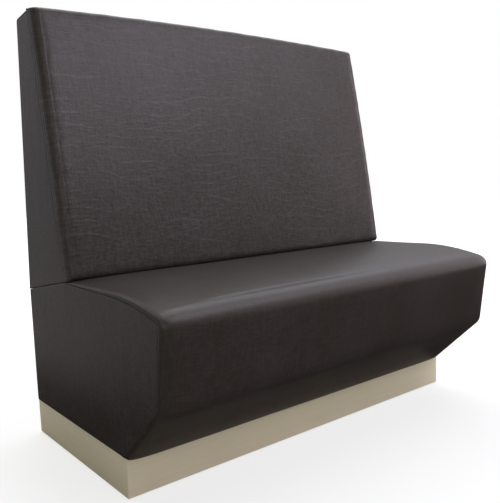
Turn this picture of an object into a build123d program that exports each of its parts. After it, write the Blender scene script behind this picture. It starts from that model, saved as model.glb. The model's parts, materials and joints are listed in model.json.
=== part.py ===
from build123d import *
import os
from math import atan2, cos, hypot, radians, sin, sqrt, tan

os.makedirs("parts", exist_ok=True)

# A restaurant booth bench in millimetres: a plinth, an upholstered seat box and a high reclined back.
# X runs to the viewer's right along the bench, Y to its rear and Z up, from the floor under its middle.

# Overall sizes
bench_width = 1200.0
bench_depth = 740.0
seat_height = 478.0
back_height = 1188.0
recline = 10.0

# Sheet and board thicknesses
cover_thickness = 1.5
soft_gap = 0.3
side_pad_thickness = 5.0
front_pad_thickness = 12.0
panel_ply = 18.0
board_ply = 12.0
face_ply = 9.0
rear_board_thickness = 4.0
webbing_sheet = 1.5
cut_overrun = 5.0
round_sides = 12

# Plinth
plinth_height = 100.0
plinth_front_setback = 190.0
plinth_rear_setback = 2.0
plinth_board = 18.0
plinth_edge_radius = 2.0
batten_depth = 45.0
batten_height = 40.0
corner_block_leg = 60.0
dust_cover_thickness = 0.5
dust_cover_margin = 12.0
glide_height = 3.0
glide_radius = 11.0
glide_inset = 6.0

# Seat skin in side view, measured at its ends, with what the crown adds at mid width
nose_crown = 9.0
nose_drop = 30.5
nose_lift = 5.0
brow_setback = 127.0
brow_radius_share = 0.84
seat_crown = 12.0
shoulder_setback = 18.0
shoulder_lift = 3.0
shoulder_crown = 6.0
shoulder_radius = 60.0
tuck_drop = 1.0
tuck_crown = 1.5
tuck_radius = 6.0
nose_radius = 15.0
front_lean = 6.0
lower_corner_share = 0.381
lower_corner_radius = 22.0
lower_corner_crown = 4.0
hem_overhang = 3.0
hem_crown = 6.0
hem_clearance = 0.5
crown_power = 9
crown_station_shares = (-1.0, -0.975, -0.92, -0.84, -0.7, 0.7, 0.84, 0.92, 0.975, 1.0)

# Seat frame
deck_drop = 106.0
rail_height = 45.0
rail_depth = 32.0
base_rail_height = 40.0
base_rail_depth = 63.0
rear_rail_depth = 28.0
rear_rail_height = 70.0
rib_offset_share = 0.4
rib_front_hole_radius = 42.0
rib_rear_hole_radius = 45.0

# Sinuous springs, their clips and tie wires
spring_count = 5
wire_diameter = 3.8
loop_width = 70.0
loop_pitch = 52.0
clip_sheet = 1.2
clip_width = 18.0
clip_tongue = 11.0
wire_play = 0.3
tie_diameter = 2.4
tie_play = 0.2
tie_count = 2

# Joint between seat and back
joint_rear_drop = 44.0
joint_reveal = 1.0
bolt_offset_share = 0.62
bolt_row_share = 0.28
bolt_diameter = 8.0
bolt_hole_play = 1.0
bolt_head_flats = 13.0
bolt_head_height = 5.3
bolt_end = 4.0
washer_diameter = 24.0
washer_thickness = 2.0
washer_play = 0.4
tee_flange_diameter = 22.0
tee_flange_thickness = 1.6
tee_barrel_diameter = 10.0
tee_barrel_length = 11.0
tee_play = 0.2
screw_diameter = 5.0
screw_head_diameter = 10.0
screw_head_height = 3.0
screw_into_batten = 30.0
screw_hole_play = 0.4
screw_offset_share = 0.72

# Back
back_foot_depth = 293.5
pad_depth = 30.0
pad_bow = 5.0
pad_roll = 14.0
bow_arc_share = 0.8
pad_roll_shares = (0.0, 0.1, 0.4, 1.0)
top_station_shares = (-1.0, -0.66, -0.33, 0.0, 0.33, 0.66, 1.0)
top_crown = 10.0
top_fall = 6.0
top_pad_thickness = 6.0
rear_lean = 4.1
rear_top_radius = 9.0
side_corner_radius = 9.0
top_rail_height = 50.0
back_rib_offset_share = 0.35
back_rib_hole_share = 0.27
back_rib_hole_count = 2

# Places that follow from the sizes
half_width = bench_width / 2
front_y = -bench_depth / 2
rear_y = bench_depth / 2
slope = radians(recline)
skin_depth = cover_thickness + soft_gap
cover_x = half_width - cover_thickness
panel_x = cover_x - side_pad_thickness
inner_x = panel_x - panel_ply
plinth_bottom = glide_height + dust_cover_thickness
plinth_rear_y = rear_y - plinth_rear_setback
plinth_front_y = front_y + plinth_front_setback
plinth_depth = plinth_rear_y - plinth_front_y
hem_height = plinth_height + hem_clearance
frame_inset = skin_depth + front_pad_thickness
frame_rear_y = rear_y - cover_thickness - rear_board_thickness
joint_rear_z = seat_height - joint_rear_drop
deck_z = seat_height - deck_drop
foam_bottom = deck_z + webbing_sheet
clip_height = wire_diameter + wire_play * 2 + clip_sheet * 2
rail_top = deck_z - clip_height
spring_z = rail_top + clip_height / 2
rib_top = rail_top - rail_height


def save(piece, name):
    """Label a finished piece and write it to its own file."""
    piece.part.label = name
    export_step(piece.part, f"parts/{name}.step")


def meet(p, u, q, v):
    """Point where the line through p along u crosses the line through q along v, in side view."""
    cross = u[0] * v[1] - u[1] * v[0]
    reach = ((q[0] - p[0]) * v[1] - (q[1] - p[1]) * v[0]) / cross
    return (p[0] + u[0] * reach, p[1] + u[1] * reach)


def toward(a, b):
    """Unit direction from a to b."""
    span = hypot(b[0] - a[0], b[1] - a[1])
    return ((b[0] - a[0]) / span, (b[1] - a[1]) / span)


def at_height(a, b, height):
    """Point of the line through a and b at a given height."""
    return meet(a, toward(a, b), (0, height), (1, 0))


def inset_path(points, inset):
    """Corners of the parallel path at a depth inside a path that runs forward over the seat and down."""
    lines = []
    for a, b in zip(points, points[1:]):
        u = toward(a, b)
        lines.append(((a[0] - u[1] * inset, a[1] + u[0] * inset), u))
    level = (1, 0)
    corners = [meet(*lines[0], points[0], level)]
    for first, second in zip(lines, lines[1:]):
        corners.append(meet(*first, *second))
    corners.append(meet(*lines[-1], points[-1], level))
    return corners


def nose_tip():
    """How far the rounded nose stays behind its unrounded corner at mid width."""
    brow = (brow_setback, seat_crown)
    nose = (-nose_crown, nose_lift - nose_drop)
    corner = (front_drop * tan(radians(front_lean)) - lower_corner_crown, lower_corner_z - seat_height)
    before = toward(brow, nose)
    after = toward(nose, corner)
    bend = (after[0] - before[0], after[1] - before[1])
    half_turn_cosine = hypot(before[0] + after[0], before[1] + after[1]) / 2
    return bend[0] / hypot(*bend) * nose_radius / half_turn_cosine - nose_radius


lower_corner_z = plinth_height + (seat_height - plinth_height) * lower_corner_share
front_drop = seat_height - nose_drop - lower_corner_z
nose_end_y = front_y + nose_crown - nose_tip()
face_y = rear_y - back_foot_depth
bearer_y = face_y + pad_depth
tuck_y = bearer_y - soft_gap


def joint_height(y):
    """Height of the sloping joint between seat and back at a given depth."""
    return joint_rear_z + (rear_y - y) * tan(slope)


def rise_at(x):
    """Share of the full crown at a place along the bench: none at the end seams, all over the middle."""
    return 1 - abs(x / half_width) ** crown_power


def seat_corners(rise):
    """Corners of the seat skin in side view, from the tuck behind the foam over the nose to the hem."""
    corner_y = nose_end_y + front_drop * tan(radians(front_lean))
    return [
        (tuck_y, foam_bottom),
        (tuck_y, seat_height - tuck_drop + tuck_crown * rise),
        (face_y - shoulder_setback, seat_height + shoulder_lift + shoulder_crown * rise),
        (nose_end_y + brow_setback, seat_height + seat_crown * rise),
        (nose_end_y - nose_crown * rise, seat_height - nose_drop + nose_lift * rise),
        (corner_y - lower_corner_crown * rise, lower_corner_z),
        (plinth_front_y - hem_overhang - hem_crown * rise, hem_height),
    ]


def seat_radii(points, inset):
    """Radii at the inner corners of the skin path: tuck, shoulder, brow, nose and lower corner."""
    before = toward(points[2], points[3])
    after = toward(points[3], points[4])
    turn = atan2(before[0] * after[1] - before[1] * after[0], before[0] * after[0] + before[1] * after[1])
    fall = hypot(points[4][0] - points[3][0], points[4][1] - points[3][1])
    brow_radius = fall * brow_radius_share / tan(turn / 2)
    outer = [tuck_radius, shoulder_radius, brow_radius, nose_radius, lower_corner_radius]
    return [radius - inset for radius in outer]


def skin_section(rise):
    """Closed outline of the seat cover's thickness in side view."""
    outer_points = seat_corners(rise)
    inner_points = inset_path(outer_points, cover_thickness)
    with BuildSketch(Plane.XY) as section:
        with BuildLine():
            outer = FilletPolyline(*outer_points, radius=seat_radii(outer_points, 0))
            inner = FilletPolyline(*inner_points, radius=seat_radii(outer_points, cover_thickness))
            Line(outer @ 0, inner @ 0)
            Line(outer @ 1, inner @ 1)
        make_face()
    return section.sketch


def foam_section(rise):
    """Closed outline of the seat foam in side view, flat underneath."""
    outer_points = seat_corners(rise)
    points = inset_path(outer_points, skin_depth)
    last = at_height(points[4], points[5], foam_bottom)
    radii = seat_radii(outer_points, skin_depth)[:4]
    with BuildSketch(Plane.XY) as section:
        with BuildLine():
            top = FilletPolyline(*points[:5], last, radius=radii)
            Line(top @ 1, top @ 0)
        make_face()
    return section.sketch


frame_path = inset_path(seat_corners(0), frame_inset)
board_path = inset_path(seat_corners(0), frame_inset + board_ply)
front_top = at_height(frame_path[4], frame_path[5], deck_z)
front_corner = frame_path[5]
front_hem = at_height(frame_path[5], frame_path[6], plinth_height)
board_top = at_height(board_path[4], board_path[5], deck_z)
board_corner = board_path[5]
board_hem = at_height(board_path[5], board_path[6], plinth_height)


def front_pad_section(rise):
    """Closed outline of the foam in front of the boards, from the deck round the lower corner."""
    outer_points = seat_corners(rise)
    points = inset_path(outer_points, skin_depth)
    first = at_height(points[4], points[5], foam_bottom)
    inner_top = at_height(frame_path[4], frame_path[5], foam_bottom)
    inner_hem = at_height(frame_path[5], frame_path[6], hem_height)
    outer_radius = lower_corner_radius - skin_depth
    with BuildSketch(Plane.XY) as section:
        with BuildLine():
            outer = FilletPolyline(first, points[5], points[6], radius=[outer_radius])
            Polyline(outer @ 0, inner_top, front_corner, inner_hem, outer @ 1)
        make_face()
    return section.sketch


# Plinth boards, full width at the front and rear with the ends between them
plinth_rise = plinth_height - plinth_bottom
plinth_mid_y = plinth_front_y + plinth_depth / 2
plinth_inner_depth = plinth_depth - plinth_board * 2
plinth_inner_x = half_width - plinth_board
for word, board_y in (("front", plinth_front_y), ("rear", plinth_rear_y - plinth_board)):
    with BuildPart() as plinth_long_board:
        with BuildSketch(Plane.XY.offset(plinth_bottom)):
            with Locations((0, board_y + plinth_board / 2)):
                Rectangle(bench_width, plinth_board)
        extrude(amount=plinth_rise)
        outward = Axis.Y if word == "rear" else -Axis.Y
        outer_edges = plinth_long_board.edges().filter_by(Axis.Z).sort_by(outward)[-2:]
        fillet(outer_edges, radius=plinth_edge_radius)
    save(plinth_long_board, f"plinth_{word}_board")

for word, side in (("left", -1), ("right", 1)):
    with BuildPart() as plinth_end_board:
        with BuildSketch(Plane.XY.offset(plinth_bottom)):
            with Locations((side * (half_width - plinth_board / 2), plinth_mid_y)):
                Rectangle(plinth_board, plinth_inner_depth)
        extrude(amount=plinth_rise)
    save(plinth_end_board, f"plinth_{word}_board")

# Battens glued inside the plinth's top edge, which take the screws from the seat
batten_front_y = plinth_front_y + plinth_board
batten_rear_y = plinth_rear_y - plinth_board - batten_depth
screw_x = half_width * screw_offset_share
screw_front_y = batten_front_y + batten_depth * 2 / 3
screw_rear_y = plinth_rear_y - plinth_board - screw_head_diameter
with BuildPart() as plinth_battens:
    with BuildSketch(Plane.XY.offset(plinth_height)):
        for batten_y in (batten_front_y, batten_rear_y):
            with Locations((0, batten_y + batten_depth / 2)):
                Rectangle(plinth_inner_x * 2, batten_depth)
    extrude(amount=-batten_height)
    with BuildSketch(Plane.XY.offset(plinth_height)):
        with Locations(*[(x, y) for x in (-screw_x, 0, screw_x) for y in (screw_front_y, screw_rear_y)]):
            RegularPolygon((screw_diameter + screw_hole_play) / 2, round_sides)
    extrude(amount=-screw_into_batten - screw_hole_play, mode=Mode.SUBTRACT)
save(plinth_battens, "plinth_battens")

# Cross rails of the plinth, under the ribs of the seat
rib_x = inner_x * rib_offset_share
with BuildPart() as plinth_cross_rails:
    with BuildSketch(Plane.XY.offset(plinth_bottom)):
        with Locations((-rib_x, plinth_mid_y), (rib_x, plinth_mid_y)):
            Rectangle(panel_ply, plinth_inner_depth - batten_depth * 2)
    extrude(amount=plinth_rise)
save(plinth_cross_rails, "plinth_cross_rails")

# Triangular glue blocks in the plinth's corners, under the battens
with BuildPart() as plinth_corner_blocks:
    with BuildSketch(Plane.XY.offset(plinth_bottom)):
        for side in (-1, 1):
            for corner_y, inward in ((batten_front_y, 1), (plinth_rear_y - plinth_board, -1)):
                corner_x = side * plinth_inner_x
                Polygon(
                    (corner_x, corner_y),
                    (corner_x - side * corner_block_leg, corner_y),
                    (corner_x, corner_y + inward * corner_block_leg),
                    align=None,
                )
    extrude(amount=plinth_rise - batten_height)
save(plinth_corner_blocks, "plinth_corner_blocks")

# Thin black sheet stapled under the plinth
with BuildPart() as dust_cover:
    with BuildSketch(Plane.XY.offset(glide_height)):
        with Locations((0, plinth_mid_y)):
            Rectangle(bench_width - dust_cover_margin, plinth_depth - dust_cover_margin)
    extrude(amount=dust_cover_thickness)
save(dust_cover, "dust_cover")

# Nail-on glides under the corners and the middle of the long boards
glide_x = half_width - glide_radius - glide_inset
glide_front_y = plinth_front_y + glide_radius + glide_inset
glide_rear_y = plinth_rear_y - glide_radius - glide_inset
with BuildPart() as floor_glides:
    with BuildSketch(Plane.XY):
        with Locations(*[(x, y) for x in (-glide_x, 0, glide_x) for y in (glide_front_y, glide_rear_y)]):
            RegularPolygon(glide_radius, round_sides)
    extrude(amount=glide_height)
save(floor_glides, "floor_glides")

# End panels of the seat, with the bench's side profile and a step that carries the back
for word, side in (("left", -1), ("right", 1)):
    with BuildPart() as seat_end_panel:
        with BuildSketch(Plane.YZ.offset(side * inner_x)):
            Polygon(
                front_hem,
                (frame_rear_y, plinth_height),
                (frame_rear_y, joint_height(frame_rear_y)),
                (bearer_y, joint_height(bearer_y)),
                (bearer_y, deck_z),
                front_top,
                front_corner,
                align=None,
            )
        extrude(amount=side * panel_ply)
    save(seat_end_panel, f"seat_end_panel_{word}")

# Boards that close the front of the seat, mitred where they meet at the lower corner
with BuildPart() as seat_front_board:
    with BuildSketch(Plane.YZ):
        Polygon(front_top, front_corner, board_corner, board_top, align=None)
    extrude(amount=inner_x, both=True)
save(seat_front_board, "seat_front_board")

with BuildPart() as seat_sloped_board:
    with BuildSketch(Plane.YZ):
        Polygon(front_corner, front_hem, board_hem, board_corner, align=None)
    extrude(amount=inner_x, both=True)
save(seat_sloped_board, "seat_sloped_board")

# Rails along the seat: two carry the springs, two stand on the plinth and one holds the rear edge
spring_rail_front = at_height(board_path[4], board_path[5], rail_top)
spring_rail_low = at_height(board_path[4], board_path[5], rail_top - rail_height)
front_rail_rear_y = spring_rail_front[0] + rail_depth
with BuildPart() as spring_rail_front_piece:
    with BuildSketch(Plane.YZ):
        Polygon(
            spring_rail_front,
            (front_rail_rear_y, rail_top),
            (front_rail_rear_y, rail_top - rail_height),
            spring_rail_low,
            align=None,
        )
    extrude(amount=inner_x, both=True)
save(spring_rail_front_piece, "spring_rail_front")

with BuildPart() as spring_rail_rear_piece:
    with BuildSketch(Plane.YZ):
        with Locations((bearer_y - rail_depth / 2, rail_top - rail_height / 2)):
            Rectangle(rail_depth, rail_height)
    extrude(amount=inner_x, both=True)
save(spring_rail_rear_piece, "spring_rail_rear")

base_rail_top = plinth_height + base_rail_height
base_front_rear_y = board_hem[0] + base_rail_depth
base_rear_front_y = plinth_rear_y - plinth_board - batten_depth
front_base_rail = [
    board_hem,
    (base_front_rear_y, plinth_height),
    (base_front_rear_y, base_rail_top),
    at_height(board_path[5], board_path[6], base_rail_top),
]
rear_base_rail = [
    (base_rear_front_y, plinth_height),
    (frame_rear_y, plinth_height),
    (frame_rear_y, base_rail_top),
    (base_rear_front_y, base_rail_top),
]
bearer_drop = panel_ply / cos(slope)
rear_rail_front_y = frame_rear_y - rear_rail_depth
rear_rail_bottom = joint_height(frame_rear_y) - bearer_drop - rear_rail_height
rear_top_rail = [
    (frame_rear_y, joint_height(frame_rear_y) - bearer_drop),
    (frame_rear_y, rear_rail_bottom),
    (rear_rail_front_y, rear_rail_bottom),
    (rear_rail_front_y, joint_height(rear_rail_front_y) - bearer_drop),
]

with BuildPart() as seat_base_rail_front:
    with BuildSketch(Plane.YZ):
        Polygon(*front_base_rail, align=None)
    extrude(amount=inner_x, both=True)
    with BuildSketch(Plane.XY.offset(base_rail_top)):
        with Locations(*[(x, screw_front_y) for x in (-screw_x, 0, screw_x)]):
            RegularPolygon((screw_diameter + screw_hole_play) / 2, round_sides)
    extrude(amount=-base_rail_height, mode=Mode.SUBTRACT)
save(seat_base_rail_front, "seat_base_rail_front")

with BuildPart() as seat_base_rail_rear:
    with BuildSketch(Plane.YZ):
        Polygon(*rear_base_rail, align=None)
    extrude(amount=inner_x, both=True)
    with BuildSketch(Plane.XY.offset(base_rail_top)):
        with Locations(*[(x, screw_rear_y) for x in (-screw_x, 0, screw_x)]):
            RegularPolygon((screw_diameter + screw_hole_play) / 2, round_sides)
    extrude(amount=-base_rail_height, mode=Mode.SUBTRACT)
save(seat_base_rail_rear, "seat_base_rail_rear")

with BuildPart() as seat_rear_rail:
    with BuildSketch(Plane.YZ):
        Polygon(*rear_top_rail, align=None)
    extrude(amount=inner_x, both=True)
save(seat_rear_rail, "seat_rear_rail")

# Ribs inside the seat, notched over the rails, with round holes that lighten them
rib_step_y = bearer_y + panel_ply
low_hole_z = (base_rail_top + rib_top) / 2
high_hole_y = (rib_step_y + rear_rail_front_y) / 2
high_hole_z = (base_rail_top + joint_height(high_hole_y) - bearer_drop) / 2
low_hole_y = (rib_step_y + board_corner[0]) / 2
with BuildPart() as seat_ribs:
    for side in (-1, 1):
        with BuildSketch(Plane.YZ.offset(side * rib_x - panel_ply / 2)):
            Polygon(
                board_hem,
                (frame_rear_y, plinth_height),
                (frame_rear_y, joint_height(frame_rear_y) - bearer_drop),
                (rib_step_y, joint_height(rib_step_y) - bearer_drop),
                (rib_step_y, rib_top),
                at_height(board_path[4], board_path[5], rib_top),
                board_corner,
                align=None,
            )
            with Locations((low_hole_y, low_hole_z)):
                Circle(rib_front_hole_radius, mode=Mode.SUBTRACT)
            with Locations((high_hole_y, high_hole_z)):
                Circle(rib_rear_hole_radius, mode=Mode.SUBTRACT)
        extrude(amount=panel_ply)
    with BuildSketch(Plane.YZ):
        Polygon(*front_base_rail, align=None)
        Polygon(*rear_base_rail, align=None)
        Polygon(*rear_top_rail, align=None)
    extrude(amount=inner_x, both=True, mode=Mode.SUBTRACT)
save(seat_ribs, "seat_ribs")

# Upright board behind the spring rail and the sloping bearer board that the back is bolted to
with BuildPart() as bearer_upright:
    with BuildSketch(Plane.YZ):
        Polygon(
            (bearer_y, rib_top),
            (rib_step_y, rib_top),
            (rib_step_y, joint_height(rib_step_y) - bearer_drop),
            (bearer_y, joint_height(bearer_y) - bearer_drop),
            align=None,
        )
    extrude(amount=inner_x, both=True)
save(bearer_upright, "bearer_upright")

joint_origin = (0, bearer_y, joint_height(bearer_y))
joint_plane = Plane(origin=joint_origin, x_dir=(1, 0, 0), z_dir=(0, sin(slope), cos(slope)))
joint_length = (frame_rear_y - bearer_y) / cos(slope)
bolt_x = inner_x * bolt_offset_share
bolt_rows = (joint_length * bolt_row_share, joint_length * (1 - bolt_row_share))
bolt_places = [(x, y) for x in (-bolt_x, bolt_x) for y in bolt_rows]
with BuildPart() as bearer_board:
    with BuildSketch(Plane.YZ):
        Polygon(
            (bearer_y, joint_height(bearer_y)),
            (frame_rear_y, joint_height(frame_rear_y)),
            (frame_rear_y, joint_height(frame_rear_y) - bearer_drop),
            (bearer_y, joint_height(bearer_y) - bearer_drop),
            align=None,
        )
    extrude(amount=inner_x, both=True)
    with BuildSketch(joint_plane):
        with Locations(*bolt_places):
            RegularPolygon((bolt_diameter + bolt_hole_play) / 2, round_sides)
    extrude(amount=-panel_ply, mode=Mode.SUBTRACT)
save(bearer_board, "bearer_board")

# Board that closes the rear of the seat
with BuildPart() as seat_rear_board:
    with BuildSketch(Plane.XZ.offset(-frame_rear_y)):
        with Locations((0, (plinth_height + joint_height(rear_y)) / 2)):
            Rectangle(panel_x * 2, joint_height(rear_y) - plinth_height)
    extrude(amount=-rear_board_thickness)
save(seat_rear_board, "seat_rear_board")

# Sheet-metal clips that hook over the end bars of the springs
rail_front_mid = (spring_rail_front[0] + front_rail_rear_y) / 2
rail_rear_mid = bearer_y - rail_depth / 2
spring_span = rail_rear_mid - rail_front_mid
spring_spacing = inner_x * 2 / spring_count
spring_places = [-inner_x + spring_spacing * (i + 0.5) for i in range(spring_count)]
eye_half = wire_diameter / 2 + wire_play
clip_half = eye_half + clip_sheet
with BuildPart() as spring_clips:
    for bar_y, inward in ((rail_front_mid, 1), (rail_rear_mid, -1)):
        for place in spring_places:
            with BuildSketch(Plane.YZ.offset(place - clip_width / 2)):
                with Locations((bar_y + inward * clip_tongue / 2, spring_z)):
                    Rectangle(clip_tongue + clip_half * 2, clip_half * 2)
                with Locations((bar_y + inward * (clip_tongue / 2 + clip_sheet), spring_z)):
                    Rectangle(clip_tongue + clip_half * 2, eye_half * 2, mode=Mode.SUBTRACT)
            extrude(amount=clip_width)
save(spring_clips, "spring_clips")

# Sinuous springs: straight bars joined by half turns, from the front rail to the rear rail
bar_steps = max(2 * round(spring_span / loop_pitch / 2), 2)
bar_pitch = spring_span / bar_steps
turn_radius = bar_pitch / 2
bar_reach = loop_width / 2 - turn_radius
with BuildPart() as sinuous_springs:
    for place in spring_places:
        with BuildLine(Plane.XY.offset(spring_z)) as route:
            Line((place - bar_reach, rail_front_mid), (place + bar_reach, rail_front_mid))
            for step in range(bar_steps):
                side = 1 if step % 2 == 0 else -1
                bar_y = rail_front_mid + bar_pitch * step
                ThreePointArc(
                    (place + side * bar_reach, bar_y),
                    (place + side * (bar_reach + turn_radius), bar_y + turn_radius),
                    (place + side * bar_reach, bar_y + bar_pitch),
                )
                Line(
                    (place + side * bar_reach, bar_y + bar_pitch),
                    (place - side * bar_reach, bar_y + bar_pitch),
                )
        with BuildSketch(Plane(origin=route.line @ 0, x_dir=(0, 0, 1), z_dir=route.line % 0)):
            Rectangle(wire_diameter, wire_diameter)
        sweep(path=route.line)
save(sinuous_springs, "sinuous_springs")
print(f"Spring wire: least gap to itself {bar_pitch - wire_diameter:.1f} mm, turn radius {turn_radius:.1f} mm")

# Straight tie wires that run across under the springs, from end panel to end panel
tie_z = spring_z - (wire_diameter + tie_diameter) / 2 - tie_play
with BuildPart() as spring_tie_wires:
    for i in range(tie_count):
        with BuildSketch(Plane.YZ):
            with Locations((rail_front_mid + spring_span * (i + 1) / (tie_count + 1), tie_z)):
                Circle(tie_diameter / 2)
        extrude(amount=inner_x, both=True)
save(spring_tie_wires, "spring_tie_wires")

# Woven sheet stapled over the springs, under the foam
with BuildPart() as spring_cover_sheet:
    with BuildSketch(Plane.XY.offset(deck_z)):
        with Locations((0, (front_top[0] + bearer_y) / 2)):
            Rectangle(panel_x * 2, bearer_y - front_top[0])
    extrude(amount=webbing_sheet)
save(spring_cover_sheet, "spring_cover_sheet")

# Foam of the seat, crowned across and along, lofted from its side profiles
with BuildPart() as seat_foam:
    for share in crown_station_shares:
        with BuildSketch(Plane.YZ.offset(share * panel_x)):
            add(foam_section(rise_at(share * panel_x)))
    loft(ruled=True)
save(seat_foam, "seat_foam")

with BuildPart() as seat_front_pad:
    for share in crown_station_shares:
        with BuildSketch(Plane.YZ.offset(share * panel_x)):
            add(front_pad_section(rise_at(share * panel_x)))
    loft(ruled=True)
save(seat_front_pad, "seat_front_pad")

# Cover of the seat in one piece: tucked behind the foam, over the top, round the nose and down to the hem
with BuildPart() as seat_cover:
    for share in crown_station_shares:
        with BuildSketch(Plane.YZ.offset(share * cover_x)):
            add(skin_section(rise_at(share * cover_x)))
    loft(ruled=True)
    with BuildSketch(Plane.XY.offset(foam_bottom)):
        with Locations((-cover_x, tuck_y), (cover_x, tuck_y)):
            Rectangle((side_pad_thickness + soft_gap) * 2, tuck_radius * 2)
    extrude(amount=seat_height - tuck_drop - cover_thickness - foam_bottom, mode=Mode.SUBTRACT)
save(seat_cover, "seat_cover")


def seat_side_outline(inset, joint_corners):
    """Outline of the seat's flat side at a depth inside the skin, up to its corners at the joint."""
    outer_points = seat_corners(0)
    points = inset_path(outer_points, inset)
    radii = seat_radii(outer_points, inset)
    shoulder_end = at_height(points[1], points[2], joint_height(bearer_y) - joint_reveal - inset)
    with BuildSketch(Plane.XY) as outline:
        with BuildLine():
            top = FilletPolyline(shoulder_end, *points[2:], radius=radii[1:])
            Polyline(top @ 1, (rear_y - inset, hem_height), *joint_corners, top @ 0)
        make_face()
    return outline.sketch


joint_rear_corner = (rear_y, joint_height(rear_y) - joint_reveal)
joint_front_corner = (bearer_y, joint_height(bearer_y) - joint_reveal)
pad_rear_corner = (rear_y - skin_depth, joint_rear_corner[1] - skin_depth)
for word, side in (("left", -1), ("right", 1)):
    with BuildPart() as seat_side_pad:
        with BuildSketch(Plane.YZ.offset(side * panel_x)):
            add(seat_side_outline(skin_depth, [pad_rear_corner]))
        extrude(amount=side * side_pad_thickness)
    save(seat_side_pad, f"seat_side_pad_{word}")

    with BuildPart() as seat_side_cover:
        with BuildSketch(Plane.YZ.offset(side * cover_x)):
            add(seat_side_outline(0, [joint_rear_corner, joint_front_corner]))
        extrude(amount=side * cover_thickness)
    save(seat_side_cover, f"seat_side_cover_{word}")

with BuildPart() as seat_rear_cover:
    rear_cover_top = joint_height(rear_y) - joint_reveal
    with BuildSketch(Plane.XZ.offset(-rear_y)):
        with Locations((0, (hem_height + rear_cover_top) / 2)):
            Rectangle(cover_x * 2, rear_cover_top - hem_height)
    extrude(amount=cover_thickness)
save(seat_rear_cover, "seat_rear_cover")


def face_point(rise, depth):
    """Point of the side view at a distance up the back's face and a depth behind it."""
    y = face_y + rise * sin(slope) + depth * cos(slope)
    return (y, joint_height(face_y) + rise * cos(slope) - depth * sin(slope))


up_face = (sin(slope), cos(slope))
into_back = (cos(slope), -sin(slope))
fall = radians(top_fall)
along_top = (cos(fall), -sin(fall))
lean = radians(rear_lean)
up_rear = (-sin(lean), cos(lean))
seam_top = meet(face_point(0, pad_depth), up_face, (0, back_height), (1, 0))


def back_corners(front_depth, top_inset, rear_inset, lift):
    """Corners of the back in side view, inset from its skin: lower front, lower rear, top rear, top front."""
    front = face_point(0, front_depth)
    joint = face_point(lift, 0)
    rear = (rear_y - rear_inset * cos(lean), joint_rear_z - rear_inset * sin(lean))
    top = (seam_top[0] - top_inset * sin(fall), seam_top[1] - top_inset * cos(fall))
    return [
        meet(joint, into_back, front, up_face),
        meet(joint, into_back, rear, up_rear),
        meet(top, along_top, rear, up_rear),
        meet(top, along_top, front, up_face),
    ]


frame_top_inset = skin_depth + top_pad_thickness
frame_rear_inset = cover_thickness + rear_board_thickness
frame_depth = pad_depth + face_ply

# Side frames of the back: narrow wedges that set the recline of its face
frame_corners = back_corners(frame_depth, frame_top_inset, frame_rear_inset, 0)
for word, side in (("left", -1), ("right", 1)):
    with BuildPart() as back_side_frame:
        with BuildSketch(Plane.YZ.offset(side * inner_x)):
            Polygon(*frame_corners, align=None)
        extrude(amount=side * panel_ply)
    save(back_side_frame, f"back_side_frame_{word}")

# Plywood face that the pad lies on
face_corners = back_corners(pad_depth, frame_top_inset, frame_rear_inset, 0)
with BuildPart() as back_face_panel:
    with BuildSketch(Plane.YZ):
        Polygon(face_corners[0], frame_corners[0], frame_corners[3], face_corners[3], align=None)
    extrude(amount=panel_x, both=True)
save(back_face_panel, "back_face_panel")

# Bottom board of the back, bolted down on the bearer board of the seat
floor_corners = back_corners(frame_depth, frame_top_inset, frame_rear_inset, panel_ply)
with BuildPart() as back_bottom_board:
    with BuildSketch(Plane.YZ):
        Polygon(frame_corners[0], frame_corners[1], floor_corners[1], floor_corners[0], align=None)
    extrude(amount=inner_x, both=True)
    with BuildSketch(joint_plane):
        with Locations(*bolt_places):
            RegularPolygon((bolt_diameter + bolt_hole_play) / 2, round_sides)
    extrude(amount=panel_ply, mode=Mode.SUBTRACT)
    with BuildSketch(joint_plane.offset(panel_ply)):
        with Locations(*bolt_places):
            RegularPolygon(tee_barrel_diameter / 2 + tee_play, round_sides)
    extrude(amount=-tee_barrel_length - tee_play, mode=Mode.SUBTRACT)
save(back_bottom_board, "back_bottom_board")

# Rail along the top of the back, between the side frames
under_rail_inset = frame_top_inset + top_rail_height
under_rail = back_corners(frame_depth, under_rail_inset, frame_rear_inset, panel_ply)
with BuildPart() as back_top_rail:
    with BuildSketch(Plane.YZ):
        Polygon(frame_corners[3], frame_corners[2], under_rail[2], under_rail[3], align=None)
    extrude(amount=inner_x, both=True)
save(back_top_rail, "back_top_rail")

# Ribs of the back, with a row of round holes that shrink toward the top
back_rib_x = inner_x * back_rib_offset_share
with BuildPart() as back_ribs:
    for side in (-1, 1):
        with BuildSketch(Plane.YZ.offset(side * back_rib_x - panel_ply / 2)):
            Polygon(*under_rail, align=None)
            for i in range(back_rib_hole_count):
                share = (i + 0.5) / back_rib_hole_count
                front = [a + (b - a) * share for a, b in zip(under_rail[0], under_rail[3])]
                rear = [a + (b - a) * share for a, b in zip(under_rail[1], under_rail[2])]
                with Locations(((front[0] + rear[0]) / 2, (front[1] + rear[1]) / 2)):
                    Circle((rear[0] - front[0]) * back_rib_hole_share, mode=Mode.SUBTRACT)
        extrude(amount=panel_ply)
save(back_ribs, "back_ribs")

# Thin board over the rear of the back
rear_skin_corners = back_corners(frame_depth, frame_top_inset, cover_thickness, 0)
with BuildPart() as back_rear_board:
    with BuildSketch(Plane.YZ):
        Polygon(frame_corners[1], rear_skin_corners[1], rear_skin_corners[2], frame_corners[2], align=None)
    extrude(amount=panel_x, both=True)
save(back_rear_board, "back_rear_board")


def crown_at(x):
    """Rise of the back's top line at a place along the bench."""
    return top_crown * (1 - (x / half_width) ** 2)


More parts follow.
